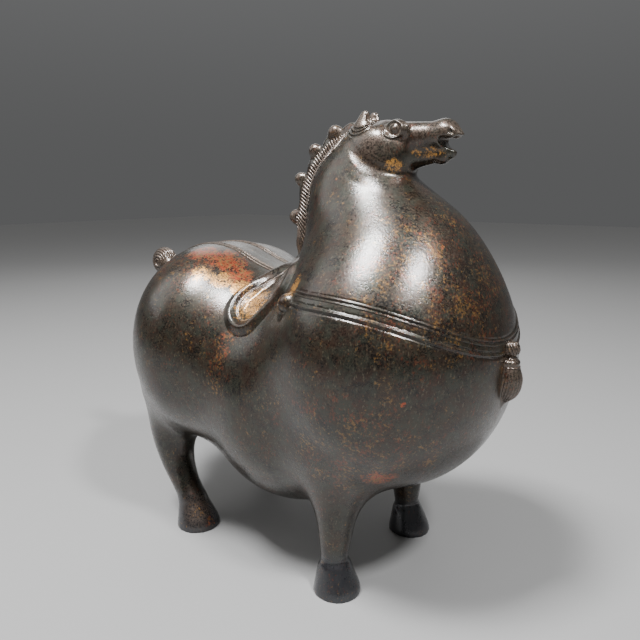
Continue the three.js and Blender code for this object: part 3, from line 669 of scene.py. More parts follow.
@dataclass
class Head:
    """Skull, hooked snout, open jaw, eyes, ears and the creases round them.

    A reach or span is the low end, rise, high end and fall of a window. A ring, crease or ridge is
    a half width and a height. The eye's hollow is an inset, a width and a depth, its groove a
    distance, a half width and a depth.
    """

    skull: Blob = Blob((57, 0, 258), (20, 15, 14.5))
    snout: Taper = Taper((66, 0, 263), (98, 0, 264.5), 10.5, 7.2, 0.95)
    snout_blend: float = 8
    lip: Taper = Taper((101, 0, 265.4), (107.2, 0, 262.2), 7.5, 4.6, 0.85)
    lip_blend: float = 4
    cheek: Blob = Blob((64, 8, 254), (17, 10, 15), 20)
    cheek_blend: float = 5
    cheek_bulge: Blob = Blob((59.5, 10.5, 260.5), (9, 5.2, 8), 15)
    bulge_blend: float = 6
    jaw: Taper = Taper((72, 0, 252.5), (104, 0, 254.6), 7, 2.6, 0.95)
    jaw_blend: float = 5
    chin: Blob = Blob((99, 0, 252.5), (4, 3.6, 3.2))
    chin_blend: float = 2
    mouth: Blob = Blob((113.5, 0, 259.1), (15.2, 20, 4.2), -12)
    mouth_round: float = 1.5
    nostril: Blob = Blob((103.4, 3.7, 266), (4.4, 2.6, 3.0), -25)
    nostril_blend: float = 2.5
    nostril_hole: Blob = Blob((106.2, 6.0, 265.6), (1.9, 1.2, 0.8), -40)
    nostril_round: float = 1
    eyelid: Blob = Blob((75.8, 9.2, 268), (7.2, 3.9, 5.8))
    eyelid_blend: float = 2
    eye_at: Pair = (75.6, 268.2)
    eye_radii: Pair = (5.1, 4.5)
    eye_ring: Pair = (0.9, 0.55)
    eye_hollow: Triple = (0.4, 1.4, 0.45)
    eye_groove: Triple = (1.4, 0.7, 0.25)
    eye_from_y: float = 6.0
    eyeball: Blob = Blob((75.8, 10.5, 268.4), (2.8, 3.0, 2.7))
    eyeball_blend: float = 0.6
    ear: Taper = Taper((51, 5.6, 265.5), (52, 4.9, 277.2), 8.6, 2.9, 0.72)
    ear_hollow: Blob = Blob((57.2, 6.5, 275.5), (3.1, 2.0, 4.9), 16)
    ear_round: float = 1
    ear_blend: float = 2.5
    fold_centre: Pair = (52.0, 279.0)
    fold_pitch: float = 2.1
    fold_depth: float = 0.42
    fold_reach: Four = (7.0, 1.5, 15.5, 2.5)
    fold_span: Four = (42, 4, 62, 4)
    fold_rise: float = 3
    jowl: Sequence[Pair] = (
        (45.4, 262.6), (54.2, 257.1), (62.2, 250.6), (69.7, 247.4), (77, 244.6), (83.5, 243.4),
    )
    jowl_steps: int = 4
    jowl_crease: Pair = (4.6, 0.65)
    jowl_ridge: Pair = (6.0, 0.45)
    jowl_ridge_shift: Pair = (2.8, 4.4)
    jowl_span: Four = (43, 10, 86, 12)
    jowl_rise: float = 7
    relief_from_y: float = 2

    def distance(self, m: Points) -> np.ndarray:
        """Signed distance of mirrored points to the head without its ears."""
        d = soft_min(self.skull.distance(m), self.snout.distance(m), self.snout_blend)
        d = soft_min(d, self.lip.distance(m), self.lip_blend)
        d = soft_min(d, self.cheek.distance(m), self.cheek_blend)
        d = soft_min(d, self.cheek_bulge.distance(m), self.bulge_blend)
        jaw = soft_min(self.jaw.distance(m), self.chin.distance(m), self.chin_blend)
        d = soft_min(d, jaw, self.jaw_blend)
        d = soft_max(d, -self.mouth.distance(m), self.mouth_round)
        d = soft_min(d, self.nostril.distance(m), self.nostril_blend)
        d = soft_max(d, -self.nostril_hole.distance(m), self.nostril_round)
        d = soft_min(d, self.eyelid.distance(m), self.eyelid_blend) - self.eye_relief(m)
        return soft_min(d, self.eyeball.distance(m), self.eyeball_blend)

    def eye_relief(self, m: Points) -> np.ndarray:
        """Height of the ring round the eye, less the hollow inside and the fine groove outside."""
        x, y, z = m.T
        rx, rz = self.eye_radii
        share = np.hypot((x - self.eye_at[0]) / rx, (z - self.eye_at[1]) / rz)
        off = (share - 1) * math.sqrt(rx * rz)
        inset, width, depth = self.eye_hollow
        away, half, fine = self.eye_groove
        height = rib(off, *self.eye_ring) - depth * ease((-off - inset) / width)
        return np.where(y > self.eye_from_y, height - rib(off - away, half, fine), 0)

    def ears(self, m: Points) -> np.ndarray:
        """Signed distance of mirrored points to the ears."""
        return soft_max(self.ear.distance(m), -self.ear_hollow.distance(m), self.ear_round)

    def relief(self, m: Points) -> np.ndarray:
        """Height of the skin folds under the ears and of the jowl's ridge and crease."""
        x, y, z = m.T
        away = np.hypot(x - self.fold_centre[0], z - self.fold_centre[1])
        out = y - self.relief_from_y
        share = window(away, *self.fold_reach) * window(x, *self.fold_span)
        share = share * ease(out / self.fold_rise)
        folds = self.fold_depth * share * np.cos(2 * math.pi * away / self.fold_pitch)
        line = line_through(self.jowl, self.jowl_steps)
        crease = rib(side_distance(x, z, line), *self.jowl_crease)
        back, down = self.jowl_ridge_shift
        ridge = rib(side_distance(x + back, z + down, line), *self.jowl_ridge)
        return folds + window(x, *self.jowl_span) * ease(out / self.jowl_rise) * (ridge - crease)


@dataclass
class Mane:
    """A thin ridge with rounded locks on its edge, and strands that hang from it onto the neck.

    The edge and the border are places of the side view. The pad is the slightly raised neck under
    the strands.
    """

    edge: Sequence[Pair] = (
        (0, 188), (-2, 204), (-2, 220), (1, 236), (8, 251), (20, 263), (34, 269), (46, 271),
    )
    edge_steps: int = 12
    half_width: float = 6.5
    flat: float = 0.45
    inset: Triple = (6, -1, -3)
    ridge_blend: float = 2
    locks: Sequence[Pair] = ((27.3, 270), (11.9, 259.8), (0.4, 242.7), (-4.4, 218.8))
    lock_radii: Triple = (4.1, 3.6, 4.1)
    lock_blend: float = 3
    border: Sequence[Pair] = (
        (3, 196), (10.5, 205.5), (17.4, 214.7), (21.2, 225.8), (23.8, 238.2), (28.2, 248),
        (34.6, 255.8), (42, 262),
    )
    border_steps: int = 8
    border_cord: RaisedLines = RaisedLines("mane_borders", 0.5, 0.3, 0.1, rubbed=False)
    strand_pitch: float = 2.1
    strand: RaisedLines = RaisedLines("mane_strands", 0.8, 0.3, 0.12)
    strand_fall: float = 13.0
    strand_shift: Pair = (0.5, -0.2)
    strand_reach: float = 0.98
    strand_steps: int = 22
    strands_from: float = 11.0
    strands_short_of: float = 5.0
    pad_height: float = 0.6
    pad_steps: int = 4
    pad_edge: float = 0.9
    pad_rise: float = 8
    pad_fall: float = 6
    pad_over: float = 2
    pad_side: Pair = (24, 4)
    ridge: list[Taper] = field(init=False)
    knobs: list[Blob] = field(init=False)

    def __post_init__(self) -> None:
        """Lays the ridge's sections and its locks."""
        forward, low, high = self.inset
        self.ridge = []
        for (ax, az), (bx, bz) in zip(self.edge[:-1], self.edge[1:]):
            ends = (ax + forward, 0, az + low), (bx + forward, 0, bz + high)
            self.ridge.append(Taper(*ends, self.half_width, self.half_width, self.flat))
        self.knobs = [Blob((x, 0, z), self.lock_radii) for x, z in self.locks]

    def distance(self, points: Points) -> np.ndarray:
        """Signed distance to the ridge and its locks."""
        d = self.ridge[0].distance(points)
        for part in self.ridge[1:]:
            d = soft_min(d, part.distance(points), self.ridge_blend)
        for knob in self.knobs:
            d = soft_min(d, knob.distance(points), self.lock_blend)
        return d

    def relief(self, m: Points) -> np.ndarray:
        """Height of the slightly raised neck under the strands at mirrored points."""
        x, y, z = m.T
        line = line_through(self.border, self.pad_steps)
        inside = np.interp(z, line[:, 1], line[:, 0]) - x
        ends = window(z, line[0, 1], self.pad_rise, line[-1, 1] + self.pad_over, self.pad_fall)
        reach, fade = self.pad_side
        return self.pad_height * ease(inside / self.pad_edge) * ends * ease((reach - y) / fade)

    def border_on(self, skin: Field, side: Flank) -> Points:
        """Path of the cord along the strands' lower ends on one side of the neck."""
        line = line_through(self.border, self.border_steps)
        return on_flank(skin, line[:, 0], line[:, 1], side)

    def strand_paths(self, skin: Field) -> list[Points]:
        """Paths of the strands on both sides, from the ridge's edge down to the border.

        Args:
            skin: Distance to the casting.

        Returns:
            One row of points for each strand, in millimetres.
        """
        edge = line_through(self.edge, self.edge_steps)
        length = np.concatenate([[0], np.cumsum(np.hypot(*np.diff(edge, axis=0).T))])
        border = line_through(self.border, self.border_steps)
        starts = np.arange(self.strands_from, length[-1] - self.strands_short_of, self.strand_pitch)
        top = np.column_stack([np.interp(starts, length, edge[:, i]) for i in (0, 1)])
        top = top + np.array(self.strand_shift)
        low = np.maximum(top[:, 1] - self.strand_fall, border[0, 1])
        foot = np.column_stack([np.interp(low, border[:, 1], border[:, 0]), low])
        t = np.linspace(0, self.strand_reach, self.strand_steps)
        flat = top[:, None] + (foot - top)[:, None] * t[:, None]
        paths = []
        for side in Flank:
            rows = on_flank(skin, flat[:, :, 0].ravel(), flat[:, :, 1].ravel(), side)
            paths += list(rows.reshape(len(starts), self.strand_steps, 3))
        return paths

    def lines(self, skin: Field, finishes: Finishes) -> list[Piece]:
        """Sweeps the strands, and the cords along their lower ends."""
        borders = [self.border_on(skin, side) for side in Flank]
        return [
            self.strand.build(self.strand_paths(skin), skin, finishes),
            self.border_cord.build(borders, skin, finishes),
        ]


@dataclass
class TailKnot:
    """The tail wound into a round knot on a short root."""

    knot: Blob = Blob((-139.5, 0, 180.5), (9.9, 7.6, 9.9))
    root: Taper = Taper((-118, 0, 170), (-133, 0, 177), 9, 7)
    root_blend: float = 4.0
    turns: int = 12
    samples: int = 44
    last_latitude: float = 80
    cord: RaisedLines = RaisedLines("tail_winding", 0.95, end_share=0.02)
    lift: float = 0.25

    def distance(self, points: Points) -> np.ndarray:
        """Signed distance to the knot and its root."""
        return soft_min(self.knot.distance(points), self.root.distance(points), self.root_blend)

    def winding_path(self) -> Points:
        """Path of the cord wound over the knot from one flat side to the other, in millimetres."""
        t = np.linspace(0, 1, self.turns * self.samples)
        latitude = np.radians(self.last_latitude * (2 * t - 1))
        turn = 2 * math.pi * self.turns * t
        rx, ry, rz = (r + self.lift for r in self.knot.radii)
        x = self.knot.at[0] + rx * np.cos(latitude) * np.cos(turn)
        y = ry * np.sin(latitude)
        z = self.knot.at[2] + rz * np.cos(latitude) * np.sin(turn)
        return np.column_stack([x, y, z])

    def lines(self, finishes: Finishes) -> list[Piece]:
        """Sweeps the winding."""
        return [self.cord.build([self.winding_path()], self.distance, finishes)]


@dataclass
class Collar:
    """The breast collar: a flat band between fine cords and grooves, and the curled strap ends.

    The band is a window over the height above the upper edge. A groove is its height above that
    edge, its half width and its depth.
    """

    top: float = 183
    start_x: float = 62
    span: float = 80
    drop: float = 25
    power: float = 2.5
    back_x: float = 45
    back_fade: float = 3
    band: Four = (-7.2, 1.2, 0.6, 1.2)
    band_height: float = 0.35
    grooves: Sequence[Triple] = (
        (1.0, 0.8, 0.25), (-0.8, 0.6, 0.4), (-4.9, 0.7, 0.4), (-7.9, 0.9, 0.4),
    )
    lump: Blob = Blob((41, 61.4, 175), (6.5, 5, 6), 30)
    curl: Blob = Blob((38, 60.6, 168.5), (4, 4, 4.2))
    curl_blend: float = 1.2
    slit: Sequence[Pair] = ((33.5, 171.5), (38, 170.6), (42.5, 171.8), (47, 172.2))
    slit_steps: int = 3
    slit_half_width: float = 1.0
    slit_depth: float = 1.1
    inner_x: float = 60
    round_turn: float = 118
    round_samples: int = 221
    round_reach: float = 105
    round_passes: int = 4
    overlap: float = 1
    cords_below: Pair = (-0.1, 1.7)
    cords: RaisedLines = RaisedLines("collar_upper_cords", 0.5, -0.25, 0.03, rubbed=False)
    roll_below: float = 6.4
    roll: RaisedLines = RaisedLines("collar_lower_roll", 0.8, -0.1, 0.03, rubbed=False)

    def upper_edge(self, x: np.ndarray) -> np.ndarray:
        """Height of the collar's upper edge over each x."""
        run = np.maximum((x - self.start_x) / self.span, 0)
        return self.top - self.drop * run**self.power

    def relief(self, points: Points) -> np.ndarray:
        """Height of the flat band over the skin, less the grooves beside its cords."""
        x, _, z = points.T
        edge = z - self.upper_edge(x)
        height = self.band_height * window(edge, *self.band)
        for at, half_width, depth in self.grooves:
            height = height - rib(edge - at, half_width, depth)
        return height * ease((x - self.back_x) / self.back_fade)

    def ends(self, m: Points) -> np.ndarray:
        """Signed distance of mirrored points to the curled strap ends."""
        lobes = soft_min(self.lump.distance(m), self.curl.distance(m), self.curl_blend)
        away = side_distance(m[:, 0], m[:, 2], line_through(self.slit, self.slit_steps))
        return lobes + rib(away, self.slit_half_width, self.slit_depth)

    def cord_path(self, skin: Field, below: float) -> Points:
        """Path round the chest at a given distance under the upper edge.

        Args:
            skin: Distance to the surface that carries the cord.
            below: How far under the upper edge, in millimetres.

        Returns:
            One row of points from the right end to the left end.
        """
        reach = spokes(self.round_turn, self.round_samples, self.round_reach)
        inside = np.tile([self.inner_x, 0.0, self.top], (len(reach), 1))
        rows = inside + reach
        for _ in range(self.round_passes):
            inside[:, 2] = self.upper_edge(rows[:, 0]) - below
            rows = cast_inward(skin, inside + reach, inside)
        return rows[rows[:, 0] > self.back_x - self.overlap]

    def lines(self, trunk: Field, finishes: Finishes) -> list[Piece]:
        """Sweeps the upper edge's two cords and the lower edge's roll over the bare trunk."""
        upper = [self.cord_path(trunk, below) for below in self.cords_below]
        return [
            self.cords.build(upper, trunk, finishes),
            self.roll.build([self.cord_path(trunk, self.roll_below)], trunk, finishes),
        ]


@dataclass
class Tassel:
    """A ribbed bud, a ring and a threaded tassel under the middle of the collar."""

    bud: Blob = Blob((144, 0, 153.5), (4.0, 3.6, 4.6))
    ring: Blob = Blob((143.6, 0, 146.4), (5.1, 5.5, 2.8))
    body: Blob = Blob((143.1, 0, 137), (7.1, 6.9, 11))
    tip: Taper = Taper((141.8, 0, 132), (139, 0, 121.5), 6.0, 1.6)
    blend: float = 1.5
    tip_blend: float = 3
    threads: int = 17
    thread_turn: float = 108
    thread_samples: int = 14
    thread_top: Pair = (143.3, 143.2)
    thread_drop: Pair = (4.0, 20.5)
    thread_reach: float = 6.6
    thread_narrowing: float = 0.72
    thread: RaisedLines = RaisedLines("tassel_threads", 0.55, 0.2)
    bud_ribs: int = 11
    rib_starts: Pair = (-150, 110)
    rib_twist: float = 55
    rib_latitudes: Pair = (62, -34)
    rib_samples: int = 9
    bud_rib: RaisedLines = RaisedLines("tassel_bud_ribs", 0.55, 0.1, 0.15)
    ring_heights: Pair = (148.6, 144.2)
    ring_turn: float = 110
    ring_samples: int = 31
    ring_reach: float = 9
    settle_rounds: int = 3

    def distance(self, points: Points) -> np.ndarray:
        """Signed distance to the tassel."""
        upper = soft_min(self.bud.distance(points), self.ring.distance(points), self.blend)
        lower = soft_min(self.body.distance(points), self.tip.distance(points), self.tip_blend)
        return soft_min(upper, lower, self.blend)

    def thread_paths(self, skin: Field) -> list[Points]:
        """Paths of the threads down the tassel's front, in millimetres."""
        t = np.linspace(0, 1, self.thread_samples)
        (top_x, top_z), (back, down) = self.thread_top, self.thread_drop
        reach = self.thread_reach * (1 - self.thread_narrowing * t**2)
        paths = []
        for angle in np.radians(np.linspace(-self.thread_turn, self.thread_turn, self.threads)):
            x = top_x - back * t**2 + reach * np.cos(angle)
            rows = np.column_stack([x, reach * np.sin(angle), top_z - down * t])
            paths.append(settle(skin, rows, self.settle_rounds))
        return paths

    def rib_paths(self) -> list[Points]:
        """Paths of the slanting ribs over the bud, in millimetres."""
        t = np.linspace(0, 1, self.rib_samples)
        high, low = self.rib_latitudes
        latitude = np.radians(high + (low - high) * t)
        paths = []
        for start in np.linspace(*self.rib_starts, self.bud_ribs):
            angle = np.radians(start + self.rib_twist * t)
            x = self.bud.at[0] + self.bud.radii[0] * np.cos(latitude) * np.cos(angle)
            y = self.bud.radii[1] * np.cos(latitude) * np.sin(angle)
            z = self.bud.at[2] + self.bud.radii[2] * np.sin(latitude)
            paths.append(settle(self.distance, np.column_stack([x, y, z]), self.settle_rounds))
        return paths

    def ring_paths(self) -> list[Points]:
        """Paths of the two cords round the neck of the tassel, in millimetres."""
        reach = spokes(self.ring_turn, self.ring_samples, self.ring_reach)
        paths = []
        for z in self.ring_heights:
            centre = np.tile([self.ring.at[0], 0, z], (len(reach), 1))
            paths.append(cast_inward(self.distance, centre + reach, centre))
        return paths

    def lines(self, skin: Field, finishes: Finishes) -> list[Piece]:
        """Sweeps the threads, and the bud's ribs with the cords under them."""
        return [
            self.thread.build(self.thread_paths(skin), skin, finishes),
            self.bud_rib.build(self.rib_paths() + self.ring_paths(), self.distance, finishes),
        ]


@dataclass
class Saddle:
    """Two rounded flaps with a rolled rim, a fine line inside it and a dished middle."""

    low: Pair = (-0.8, 168.4)
    high: Pair = (17, 189)
    radius: float = 17.2
    height: float = 0.9
    edge: float = 1.6
    rim_inset: float = 3.8
    rim_half_width: float = 4.7
    rim_height: float = 3.2
    dish_inset: float = 7.8
    dish_width: float = 3.6
    dish_depth: float = 1.9
    dish_top: float = 186
    fade: float = 8
    end_z: float = 199
    line_inset: float = 7.9
    fine_line: RaisedLines = RaisedLines("saddle_lines", 0.42, 0.1, 0.04)
    line_foot_samples: int = 33
    line_side_samples: int = 17
    line_end: Sequence[Pair] = ((24, 186), (19, 190), (12.5, 193), (6.5, 195))
    line_end_steps: int = 4

    def outline(self, x: np.ndarray, z: np.ndarray) -> np.ndarray:
        """Distance inside (negative) or outside the flap in the side view."""
        run = np.array([self.high[0] - self.low[0], self.high[1] - self.low[1]])
        dx, dz = x - self.low[0], z - self.low[1]
        along = np.clip((dx * run[0] + dz * run[1]) / (run @ run), 0, 1)
        return np.hypot(dx - run[0] * along, dz - run[1] * along) - self.radius

    def relief(self, x: np.ndarray, z: np.ndarray) -> np.ndarray:
        """Height of the flap over the skin at places of the side view."""
        out = self.outline(x, z)
        rim = rib(out + self.rim_inset, self.rim_half_width, self.rim_height)
        hollow = ease((-out - self.dish_inset) / self.dish_width)
        hollow = hollow * ease((self.dish_top - z) / self.fade)
        flap = self.height * ease(-out / self.edge) - self.dish_depth * hollow
        return np.where(rim > 0, np.maximum(rim, flap), flap) * ease((self.end_z - z) / self.fade)

    def line_path(self, skin: Field, side: Flank) -> Points:
        """Path of the fine line inside a flap's rim: down its back, round its foot, up to the neck.

        Args:
            skin: Distance to the casting.
            side: The flap's side.

        Returns:
            The path's points.
        """
        low, high = np.array(self.low), np.array(self.high)
        run = (high - low) / np.linalg.norm(high - low)
        reach = self.radius - self.line_inset
        across = np.array([-run[1], run[0]]) * reach
        turn = np.linspace(0, math.pi, self.line_foot_samples)[1:-1, None]
        foot = low + across * np.cos(turn) - run * reach * np.sin(turn)
        up = np.linspace(0, 1, self.line_side_samples)[:, None]
        back, front = (high + across) + (low - high) * up, (low - across) + (high - low) * up
        end = line_through([tuple(front[-1]), *self.line_end], self.line_end_steps)[1:]
        flat = np.vstack([back, foot, front, end])
        return on_flank(skin, flat[:, 0], flat[:, 1], side)

    def lines(self, skin: Field, finishes: Finishes) -> list[Piece]:
        """Sweeps the fine line of both flaps."""
        paths = [self.line_path(skin, side) for side in Flank]
        return [self.fine_line.build(paths, skin, finishes)]


@dataclass
class Crupper:
    """Straps from the saddle over the rump to the tail, each with three raised lines."""

    offset: float = 11.5
    gather: float = 6.5
    gather_from: float = 55
    gather_over: float = 70
    half_width: float = 2.8
    height: float = 0.5
    front: float = -6
    back: float = -128
    fade: float = 4
    lowest: float = 150
    line_front: float = -9
    line_samples: int = 61
    line_search: Pair = (225.0, 135.0)
    edge_shifts: Pair = (1.9, -1.9)
    edge_line: RaisedLines = RaisedLines("crupper_edge_lines", 0.7, 0.15, 0.12)
    middle_line: RaisedLines = RaisedLines("crupper_middle_lines", 0.42, 0.1, 0.12)

    def line(self, x: np.ndarray) -> np.ndarray:
        """Distance of the strap's middle from the spine over each x."""
        return self.offset - self.gather * ease((-x - self.gather_from) / self.gather_over)

    def relief(self, m: Points) -> np.ndarray:
        """Height of the straps over the skin at mirrored points."""
        x, y, z = m.T
        ends = window(x, self.back, self.fade, self.front, self.fade)
        strap = rib(y - self.line(x), self.half_width, self.height)
        return np.where(z > self.lowest, strap * ends, 0)

    def path(self, skin: Field, side: Flank, shift: float) -> Points:
        """Path of a raised line along one strap.

        Args:
            skin: Distance to the surface that carries it.
            side: The strap's side.
            shift: How far outside the strap's middle, in millimetres.

        Returns:
            The path's points from the saddle to the tail.
        """
        x = np.linspace(self.line_front, self.back, self.line_samples)
        y = side.value * (self.line(x) + shift)
        high, low = self.line_search
        above = np.column_stack([x, y, np.full(len(x), high)])
        within = np.column_stack([x, y, np.full(len(x), low)])
        return cast_inward(skin, above, within)

    def lines(self, skin: Field, finishes: Finishes) -> list[Piece]:
        """Sweeps the lines along both edges of the straps and along their middles."""
        edges = [self.path(skin, side, shift) for side in Flank for shift in self.edge_shifts]
        middles = [self.path(skin, side, 0) for side in Flank]
        return [
            self.edge_line.build(edges, skin, finishes),
            self.middle_line.build(middles, skin, finishes),
        ]


@dataclass
class Casting:
    """The whole bronze casting.

    The zones are where each form is worked out, and the edges are the longest mesh edges wanted.
    """

    trunk: Trunk = field(default_factory=Trunk)
    fore: Leg = field(default_factory=fore_leg)
    hind: Leg = field(default_factory=hind_leg)
    head: Head = field(default_factory=Head)
    mane: Mane = field(default_factory=Mane)
    tail: TailKnot = field(default_factory=TailKnot)
    collar: Collar = field(default_factory=Collar)
    tassel: Tassel = field(default_factory=Tassel)
    saddle: Saddle = field(default_factory=Saddle)
    crupper: Crupper = field(default_factory=Crupper)
    leg_blend: float = 20
    collar_blend: float = 2
    tassel_blend: float = 1.5
    head_blend: float = 7
    mane_blend: float = 2
    tail_blend: float = 2.5
    leg_zone: Zone = Zone(z=(-math.inf, 125))
    front_zone: Zone = Zone(x=(20, math.inf), z=(110, 215))
    harness_zone: Zone = Zone(x=(-math.inf, 60), z=(130, 220))
    harness_reach: float = 8
    head_zone: Zone = Zone(z=(220, math.inf))
    mane_zone: Zone = Zone(x=(-40, 80), z=(160, math.inf))
    tail_zone: Zone = Zone(x=(-math.inf, -90), z=(135, math.inf))
    foot_step: float = 0.2
    foot_least_slope2: float = 0.3
    trunk_edge: float = 4.6
    collar_edge: float = 1.3
    collar_middle: float = 3.5
    collar_reach: float = 6.5
    collar_from_x: float = 42
    saddle_edge: float = 1.45
    saddle_reach: Pair = (-10, 3)
    saddle_heights: Pair = (140, 203)
    mane_edge: float = 1.5
    mane_half_width: float = 9
    mane_foot: Pair = (12, 196)
    mane_lean: float = 0.35
    body_edges: Sequence[Zone] = (
        Zone(z=(-math.inf, 26), edge=3.0),
        Zone(x=(-math.inf, -2), y=(-math.inf, 19), z=(182, math.inf), edge=2.8),
        Zone(x=(-math.inf, -126), z=(166, math.inf), edge=1.6),
        Zone(x=(134, math.inf), y=(-math.inf, 9), z=(118, 161), edge=1.15),
        Zone(x=(30, 51), y=(52, 69), z=(161, 184), edge=1.2),
    )
    head_edges: Sequence[Zone] = (
        Zone(z=(236, math.inf), edge=1.55),
        Zone(x=(86, math.inf), z=(243, math.inf), edge=1.1),
        Zone(x=(66, 86), y=(4, math.inf), z=(258, math.inf), edge=0.75),
        Zone(x=(40, 64), z=(260, math.inf), edge=0.85),
    )

    def foot_on_trunk(self, points: Points, height: np.ndarray) -> Points:
        """The point of the bare trunk under each point near its skin, mirrored to the left.

        Args:
            points: Points near the skin.
            height: Their distance to the trunk.

        Returns:
            The points moved down onto the trunk.
        """
        slope = np.empty_like(points)
        for axis in range(3):
            shift = np.zeros(3)
            shift[axis] = self.foot_step
            slope[:, axis] = (self.trunk.distance(points + shift) - height) / self.foot_step
        share = height / np.maximum((slope**2).sum(1), self.foot_least_slope2)
        return mirrored(points - slope * share[:, None])

    def with_legs(self, m: Points, d: np.ndarray) -> np.ndarray:
        """Joins the legs to the distances of mirrored points."""
        legs = np.minimum(self.fore.distance(m), self.hind.distance(m))
        return soft_min(d, legs, self.leg_blend)

    def with_collar(self, m: Points, d: np.ndarray) -> np.ndarray:
        """Raises the collar and joins its strap ends and the tassel."""
        d = soft_min(d - self.collar.relief(m), self.collar.ends(m), self.collar_blend)
        return soft_min(d, self.tassel.distance(m), self.tassel_blend)

    def with_head(self, m: Points, d: np.ndarray) -> np.ndarray:
        """Joins the head and the ears, and raises their folds."""
        d = soft_min(d, self.head.distance(m), self.head_blend)
        return soft_min(d, self.head.ears(m), self.head.ear_blend) - self.head.relief(m)

    def with_mane(self, m: Points, d: np.ndarray) -> np.ndarray:
        """Raises the neck under the strands and joins the ridge."""
        return soft_min(d - self.mane.relief(m), self.mane.distance(m), self.mane_blend)

    def with_tail(self, m: Points, d: np.ndarray) -> np.ndarray:
        """Joins the tail knot."""
        return soft_min(d, self.tail.distance(m), self.tail_blend)

    def distance(self, points: Points) -> np.ndarray:
        """Signed distance of points to the casting, open at the ground."""
        m = mirrored(points)
        height = self.trunk.distance(points)
        d = height.copy()

        def within(zone: Zone, work: Callable[[Points, np.ndarray], np.ndarray]) -> None:
            """Works on the points of one zone alone."""
            mask = zone.holds(m)
            if mask.any():
                d[mask] = work(m[mask], d[mask])

        within(self.leg_zone, self.with_legs)
        within(self.front_zone, self.with_collar)
        near = self.harness_zone.holds(m) & (np.abs(height) < self.harness_reach)
        if near.any():
            foot = self.foot_on_trunk(points[near], height[near])
            straps, flaps = self.crupper.relief(foot), self.saddle.relief(foot[:, 0], foot[:, 2])
            d[near] = d[near] - straps - flaps
        within(self.head_zone, self.with_head)
        within(self.mane_zone, self.with_mane)
        within(self.tail_zone, self.with_tail)
        return d

    def standing(self, points: Points) -> np.ndarray:
        """Signed distance to the casting cut flat at the ground."""
        return np.maximum(self.distance(points), -points[:, 2])

    def face_size(self, points: Points) -> np.ndarray:
        """Longest edge wanted at each point, in millimetres: fine only where there is relief."""
        m = mirrored(points)
        x, y, z = m.T
        size = np.full(len(points), self.trunk_edge)
        over = z - self.collar.upper_edge(x)
        band = (np.abs(over + self.collar_middle) < self.collar_reach) & (x > self.collar_from_x)
        size[band] = self.collar_edge
        flap = self.saddle.outline(x, z)
        (inside, outside), (low, high) = self.saddle_reach, self.saddle_heights
        size[(flap > inside) & (flap < outside) & (z > low) & (z < high)] = self.saddle_edge
        for zone in self.body_edges:
            size[zone.holds(m)] = zone.edge
        front, foot = self.mane_foot
        ridge = (z > foot) & (x < front + (z - foot) * self.mane_lean)
        size[ridge & (y < self.mane_half_width)] = self.mane_edge
        for zone in self.head_edges:
            size[zone.holds(m)] = zone.edge
        return size

    def lines(self, finishes: Finishes) -> list[Piece]:
        """Sweeps every thin raised line, one piece for each kind."""
        skin, trunk = self.distance, self.trunk.distance
        return [
            *self.mane.lines(skin, finishes),
            *self.tail.lines(finishes),
            *self.collar.lines(trunk, finishes),
            *self.tassel.lines(skin, finishes),
            *self.saddle.lines(skin, finishes),
            *self.crupper.lines(skin, finishes),
        ]


def welded(piece: Piece) -> tuple[Points, np.ndarray]:
    """Merges the loose triangles of a solid.

    Args:
        piece: The solid's object.

    Returns:
        Its points in millimetres and its triangles.
    """
    mesh = piece.data
    mesh.calc_loop_triangles()
    co = np.empty(len(mesh.vertices) * 3)
    mesh.vertices.foreach_get("co", co)
    tri = np.empty(len(mesh.loop_triangles) * 3, np.int32)
    mesh.loop_triangles.foreach_get("vertices", tri)
    key = np.round(co.reshape(-1, 3) / MM, 3)
    unique, back = np.unique(key, axis=0, return_inverse=True)
    tri = back.reshape(-1)[tri].reshape(-1, 3)
    flat = (tri[:, 0] == tri[:, 1]) | (tri[:, 1] == tri[:, 2]) | (tri[:, 2] == tri[:, 0])
    return unique, tri[~flat]


def split_long_edges(
    points: Points, tri: np.ndarray, size: Field
) -> tuple[Points, np.ndarray, int]:
    """Splits every edge longer than the wanted size once, keeping the mesh closed.

    Args:
        points: The mesh's points.
        tri: Its triangles.
        size: Longest edge wanted at a point.

    Returns:
        The new points and triangles, and how many points are new.
    """
    pairs = np.sort(np.stack([tri[:, [0, 1]], tri[:, [1, 2]], tri[:, [2, 0]]], 1).reshape(-1, 2), 1)
    edges, back = np.unique(pairs, axis=0, return_inverse=True)
    ends = points[edges]
    middle = ends.mean(1)
    long = np.linalg.norm(ends[:, 0] - ends[:, 1], axis=1) > size(middle)
    fresh = np.full(len(edges), -1)
    fresh[long] = len(points) + np.arange(long.sum())
    cut = fresh[back.reshape(-1)].reshape(-1, 3)
    count = (cut >= 0).sum(1)
    all_points = np.vstack([points, middle[long]])
    parts = [tri[count == 0]]
    whole = count == 3
    a, b, c = tri[whole].T
    p, q, r = cut[whole].T
    parts += [np.stack(t, 1) for t in ((a, p, r), (p, b, q), (r, q, c), (p, q, r))]
    for turn in range(3):
        order = [(turn + k) % 3 for k in range(3)]
        t, e = tri[:, order], cut[:, order]
        one = (count == 1) & (e[:, 0] >= 0)
        a, b, c = t[one].T
        p = e[one, 0]
        parts += [np.stack([a, p, c], 1), np.stack([p, b, c], 1)]
        two = (count == 2) & (e[:, 2] < 0)
        a, b, c = t[two].T
        p, q = e[two, 0], e[two, 1]
        parts.append(np.stack([p, b, q], 1))
        across = np.linalg.norm(all_points[a] - all_points[q], axis=1)
        other = np.linalg.norm(all_points[p] - all_points[c], axis=1)
        near = (across < other)[:, None]
        parts.append(np.where(near, np.stack([a, p, q], 1), np.stack([a, p, c], 1)))
        parts.append(np.where(near, np.stack([a, q, c], 1), np.stack([p, q, c], 1)))
    return all_points, np.vstack(parts), int(long.sum())


